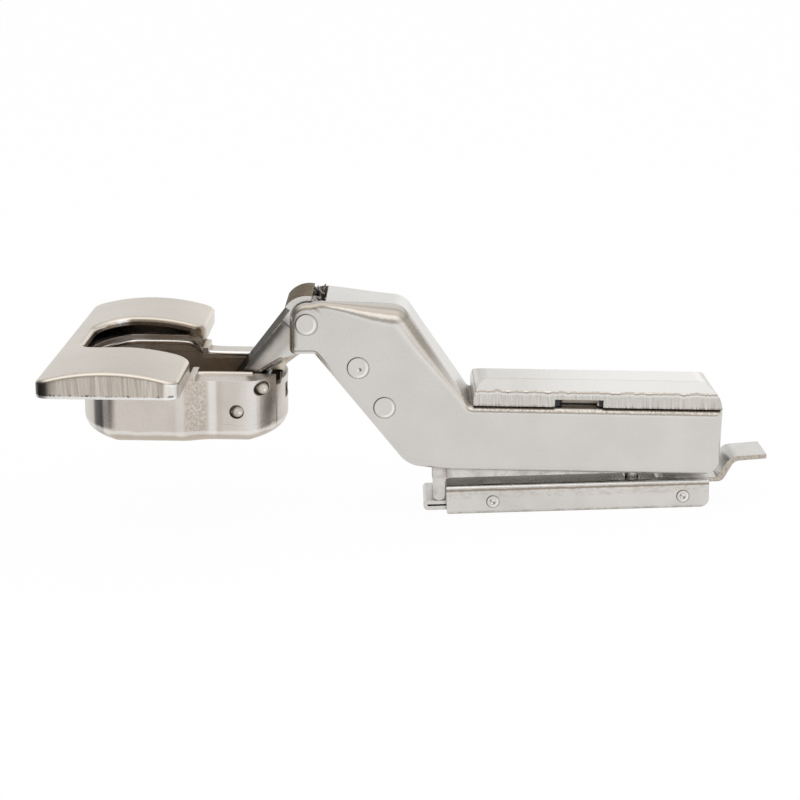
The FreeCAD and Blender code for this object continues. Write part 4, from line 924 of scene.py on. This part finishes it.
# The rolled rim runs round half of the cup's opening, in the cup's own directions.
RIM_PATH = ((-16.35, 0.0, -0.30), (-16.3, 4.6, -0.30), (-14.6, 8.6, -0.30),
            (-11.6, 12.3, -0.30), (-8.0, 12.45, -0.30), (-3.5, 12.4, -0.30),
            (-0.9, 12.2, -0.35), (0.5, 11.3, -0.60), (1.4, 9.4, -0.90), (2.6, 7.7, -1.05),
            (5.0, 7.35, -1.1), (12.0, 7.35, -1.1))
RIM_RADIUS = 0.48
# Its two halves: name, side, and the tone painted on top for its light (a white highlight on the
# far half, tan shade on the near one) with its share.
RIM_HALVES = (("far", 1, WHITE, 0.5), ("near", -1, TAN, 0.35))
# Two thin layers beside the foot of the outer link, and six wire ends in front of the arm's top.
SPRING_LAYERS = (((-55.5, -5.95, 26.3), (-54.0, -5.95, 27.4), (-51.7, -5.95, 28.5)),
                 ((-54.2, -5.95, 26.5), (-52.9, -5.95, 27.4), (-51.5, -5.95, 28.1)))
LAYER_RADIUS = 0.19
SPRING_ENDS = (((-45.4, 4.6, 37.2), (-45.7, 4.4, 38.3), (-46.4, 4.2, 38.9)),
               ((-45.1, 3.4, 37.0), (-45.2, 3.5, 38.2), (-45.5, 3.8, 38.95)),
               ((-44.7, 4.8, 37.2), (-44.6, 4.9, 38.2), (-44.2, 5.0, 38.95)),
               ((-44.6, 1.6, 37.2), (-44.7, 1.4, 38.2), (-45.3, 1.2, 38.8)),
               ((-44.4, -0.8, 37.2), (-44.6, -1.0, 38.0), (-44.2, -1.4, 38.6)),
               ((-44.6, -3.2, 37.4), (-44.9, -3.4, 38.1), (-45.4, -3.9, 38.5)))
END_RADIUS = 0.34
END_TAPER = 0.3


class HINGE_OT_cup(bpy.types.Operator):
    """Finishes the drawn cup"""

    bl_idname = "hinge.cup"
    bl_label = "Cup"

    def execute(self, context):
        dress(cup_finish(), "cup_shell")
        return {"FINISHED"}


class HINGE_OT_cover(bpy.types.Operator):
    """Finishes the cover over the cup's flange"""

    bl_idname = "hinge.cover"
    bl_label = "Cup cover"

    def execute(self, context):
        dress(cover_finish(), "cup_cover")
        return {"FINISHED"}


class HINGE_OT_links(bpy.types.Operator):
    """Finishes the two links, their sleeve and their washers"""

    bl_idname = "hinge.links"
    bl_label = "Links"

    def execute(self, context):
        dress(link_finish(), "outer_link")
        dress(inner_finish("inner_link_plate", looks().warm_nickel, 0.6), "inner_link",
              "spacer_sleeve", "link_washers")
        return {"FINISHED"}


class HINGE_OT_arm(bpy.types.Operator):
    """Finishes the cranked arm"""

    bl_idname = "hinge.arm"
    bl_label = "Arm"

    def execute(self, context):
        dress(arm_finish(), "hinge_arm")
        return {"FINISHED"}


class HINGE_OT_cap(bpy.types.Operator):
    """Finishes the arm's cap with its clip and leaf"""

    bl_idname = "hinge.cap"
    bl_label = "Arm cap"

    def execute(self, context):
        dress(cap_finish(), "arm_cap")
        dress(plastic_finish(), "cap_clip")
        dress(inner_finish("leaf_plate", shade(looks().nickel, 0.55), 0.3), "clip_leaf")
        return {"FINISHED"}


class HINGE_OT_rivets(bpy.types.Operator):
    """Finishes rivets and pins"""

    bl_idname = "hinge.rivets"
    bl_label = "Rivets and pins"

    def execute(self, context):
        for node, radius, ring, share, dimple in HEADS:
            dress(head_finish(node, radius, ring, share, dimple), node)
        for node in SUNK_PINS:
            dress(sunk_pin_finish(node, SUNK_PIN_RADIUS), node)
        dress(inner_finish("tilt_pin_plate", looks().nickel, 0.2), "tilt_pin")
        return {"FINISHED"}


class HINGE_OT_clip(bpy.types.Operator):
    """Finishes the clip channel, hook, lever and adjuster plate"""

    bl_idname = "hinge.clip"
    bl_label = "Clip"

    def execute(self, context):
        dress(clip_finish(), "clip_channel", "front_hook")
        dress(lever_finish(), "release_lever")
        dress(inner_finish("adjuster_plating", looks().nickel, 0.35), "adjuster_plate")
        return {"FINISHED"}


class HINGE_OT_screws(bpy.types.Operator):
    """Finishes the two setting screws and the springs"""

    bl_idname = "hinge.screws"
    bl_label = "Screws and springs"

    def execute(self, context):
        dress(screw_finish(), "side_screw", "depth_cam")
        dress(wire_finish("spring_wire", looks().wire), "closing_spring", "lever_spring")
        return {"FINISHED"}


class HINGE_OT_trims(bpy.types.Operator):
    """Adds the rolled rims of the cup and the small ends of spring wire"""

    bl_idname = "hinge.trims"
    bl_label = "Rims and spring ends"

    def execute(self, context):
        for end, half, top, share in RIM_HALVES:
            points = [on_cup(along, aside * half, above) for along, aside, above in RIM_PATH]
            wire("cup_rim_" + end, points, RIM_RADIUS, "cup", "cup_nickel",
                 cup_rim_finish(end, top, share))
        steel = wire_finish("spring_end_wire", looks().wire)
        for index, path in enumerate(SPRING_LAYERS):
            wire("spring_layer_%d" % index, in_metres(path), LAYER_RADIUS, "outer_link",
                 "spring_steel", steel)
        for index, path in enumerate(SPRING_ENDS):
            wire("spring_end_%d" % index, in_metres(path), END_RADIUS, "arm", "spring_steel",
                 steel, END_TAPER)
        return {"FINISHED"}


# The stage, in metres. The metal mirrors a dark patch of the floor at the left and in front.
FLOOR_REACH = 12.0
FLOOR_GAP = 0.2 * MM
PATCH_LEFT = (0.125, 0.15)
PATCH_FRONT = (0.0, 0.03)
PATCH_TONE = (0.10, 0.09, 0.08, 1.0)
FULL_WHITE = (1.0, 1.0, 1.0, 1.0)
FULL_BLACK = (0.0, 0.0, 0.0, 1.0)
# How much of the floor's own white shows: seen straight on, mirrored, and through.
FLOOR_SEEN, FLOOR_MIRRORED, FLOOR_PASSED = 0.97, 0.9, 0.8

# What the metal mirrors of the room. Heights and sides are cosines.
ROOM_CEILING = (0.55, 0.8)
ROOM_GAP = (0.46, 0.04, 0.12)
ROOM_LEFT = (0.35, 0.98)
ROOM_RIGHT = (-0.15, 0.2)
ROOM_LIGHT, CEILING_GAIN, RIGHT_GAIN, LEFT_LOSS, GAP_LOSS = 0.98, 0.12, 0.22, 0.75, 0.6
ROOM_PEAK = 1.4

LAMP_TARGET = (-0.03, 0.0, 0.02)
KEY_PLACE, KEY_SIZE = (-0.03, -0.16, 0.5), (0.7, 0.45)
FILL_PLACE, FILL_SIZE = (0.35, -0.3, 0.3), (0.6, 0.6)


def stage_material(name, colour):
    """Matt pale ground, white to the camera and pale to mirrored rays, darker at the left."""
    ground = Finish(bpy.data.materials.new(name))
    rays = ground.node("ShaderNodeLightPath")
    seen = Level(ground, rays.outputs["Is Camera Ray"])
    mirrored = Level(ground, rays.outputs["Is Glossy Ray"])
    passed = Level(ground, rays.outputs["Is Transmission Ray"])
    place = ground.node("ShaderNodeTexCoord").outputs["Object"]
    leftward = ground.along(place, LEFTWARD).above(*PATCH_LEFT)
    nearby = ground.along(place, ACROSS).below(*PATCH_FRONT)
    tone = ground.mixed(leftward * nearby * mirrored, FULL_WHITE, PATCH_TONE)
    soft = ground.node("ShaderNodeBsdfDiffuse", {}, {"Color": (*colour, 1.0)})
    bright = ground.node("ShaderNodeEmission", {}, {"Color": tone})
    share = seen * FLOOR_SEEN + mirrored * FLOOR_MIRRORED + passed * FLOOR_PASSED
    both = ground.node("ShaderNodeMixShader", {},
                       {0: share, 1: soft.outputs[0], 2: bright.outputs[0]})
    ground.node("ShaderNodeOutputMaterial", {}, {"Surface": both.outputs[0]})
    return ground.owner


def studio_world():
    """White to the camera; a bright ceiling and a dark left side in what the metal mirrors."""
    world = bpy.data.worlds.new("studio")
    bpy.context.scene.world = world
    sky = Finish(world)
    direction = sky.node("ShaderNodeTexCoord").outputs["Generated"]
    upward = sky.along(direction, UPRIGHT)
    ceiling = upward.above(*ROOM_CEILING)
    walls = 1.0 - ceiling
    flank = sky.along(direction, LEFTWARD).above(*ROOM_LEFT) * walls
    right = sky.along(direction, LENGTHWISE).above(*ROOM_RIGHT) * walls
    gap = upward.near(*ROOM_GAP) * (1.0 - flank)
    level = (ROOM_LIGHT + right * RIGHT_GAIN + ceiling * CEILING_GAIN - flank * LEFT_LOSS
             - gap * GAP_LOSS)
    tone = sky.mixed(level * (1 / ROOM_PEAK), FULL_BLACK, (ROOM_PEAK, ROOM_PEAK, ROOM_PEAK, 1.0))
    rays = sky.node("ShaderNodeLightPath")
    colour = sky.mixed(rays.outputs["Is Camera Ray"], tone, FULL_WHITE)
    back = sky.node("ShaderNodeBackground", {}, {"Color": colour, "Strength": 1.0})
    sky.node("ShaderNodeOutputWorld", {}, {"Surface": back.outputs[0]})


def area_lamp(name, place, size, power):
    """Rectangular lamp that looks at the hinge's middle."""
    data = bpy.data.lights.new(name, "AREA")
    data.shape = "RECTANGLE"
    data.size, data.size_y = size
    data.energy = power
    lamp = bpy.data.objects.new(name, data)
    bpy.context.scene.collection.objects.link(lamp)
    lamp.location = place
    aim = Vector(LAMP_TARGET) - Vector(place)
    lamp.rotation_euler = aim.to_track_quat("-Z", "Y").to_euler()


CLIP_START = 0.01


def photo_camera():
    """Camera at the photograph's place and angle."""
    setting = studio()
    turn, dip, roll = setting.camera_turn, setting.camera_dip, setting.camera_roll
    ahead = Vector((-math.sin(turn) * math.cos(dip), math.cos(turn) * math.cos(dip),
                    -math.sin(dip)))
    right = Vector((math.cos(turn), math.sin(turn), 0.0))
    up = right.cross(ahead)
    across = right * math.cos(roll) + up * math.sin(roll)
    upward = up * math.cos(roll) - right * math.sin(roll)
    data = bpy.data.cameras.new("photo_camera")
    data.sensor_width = SENSOR_MM
    data.lens = setting.focal_pixels * SENSOR_MM / PHOTO_PIXELS
    data.clip_start = CLIP_START
    camera = bpy.data.objects.new("photo_camera", data)
    bpy.context.scene.collection.objects.link(camera)
    turned = Matrix((across, upward, -ahead)).transposed().to_4x4()
    camera.matrix_world = Matrix.Translation(setting.camera_place) @ turned
    bpy.context.scene.camera = camera


class HINGE_OT_stage(bpy.types.Operator):
    """Sets up the floor, the lamps, the world and the camera"""

    bl_idname = "hinge.stage"
    bl_label = "Stage"

    def execute(self, context):
        setting = studio()
        mesh = bpy.data.meshes.new("floor")
        low = CAD_BOX[0][2] - FLOOR_GAP
        corners = [(x * FLOOR_REACH, y * FLOOR_REACH, low)
                   for x, y in ((-1, -1), (1, -1), (1, 1), (-1, 1))]
        mesh.from_pydata(corners, [], [(0, 1, 2, 3)])
        floor = bpy.data.objects.new("floor", mesh)
        context.scene.collection.objects.link(floor)
        mesh.materials.append(stage_material("floor_ground", setting.floor_colour))
        studio_world()
        area_lamp("key_lamp", KEY_PLACE, KEY_SIZE, setting.key_power)
        area_lamp("fill_lamp", FILL_PLACE, FILL_SIZE, setting.fill_power)
        photo_camera()
        context.scene.view_settings.view_transform = "Standard"
        return {"FINISHED"}


PIECES = (HINGE_OT_cup, HINGE_OT_cover, HINGE_OT_links, HINGE_OT_arm, HINGE_OT_cap,
          HINGE_OT_rivets, HINGE_OT_clip, HINGE_OT_screws, HINGE_OT_trims, HINGE_OT_stage)


class HINGE_PT_panel(bpy.types.Panel):
    """Lists the finishing steps"""

    bl_idname = "HINGE_PT_panel"
    bl_label = "Hinge finish"
    bl_space_type = "VIEW_3D"
    bl_region_type = "UI"
    bl_category = "Hinge"

    def draw(self, context):
        for operator in PIECES:
            self.layout.operator(operator.bl_idname)
        for group in (context.scene.hinge_looks, context.scene.hinge_studio):
            for name in group.bl_rna.properties.keys():
                if name not in ("rna_type", "name"):
                    self.layout.prop(group, name)


CLASSES = (HingeLooks, HingeStudio, *PIECES, HINGE_PT_panel)


def register():
    for cls in CLASSES:
        bpy.utils.register_class(cls)
    bpy.types.Scene.hinge_looks = bpy.props.PointerProperty(type=HingeLooks)
    bpy.types.Scene.hinge_studio = bpy.props.PointerProperty(type=HingeStudio)


def unregister():
    del bpy.types.Scene.hinge_looks
    del bpy.types.Scene.hinge_studio
    for cls in reversed(CLASSES):
        bpy.utils.unregister_class(cls)


def main():
    register()
    for operator in PIECES:
        group, name = operator.bl_idname.split(".")
        getattr(getattr(bpy.ops, group), name)()


if __name__ == "__main__":
    main()
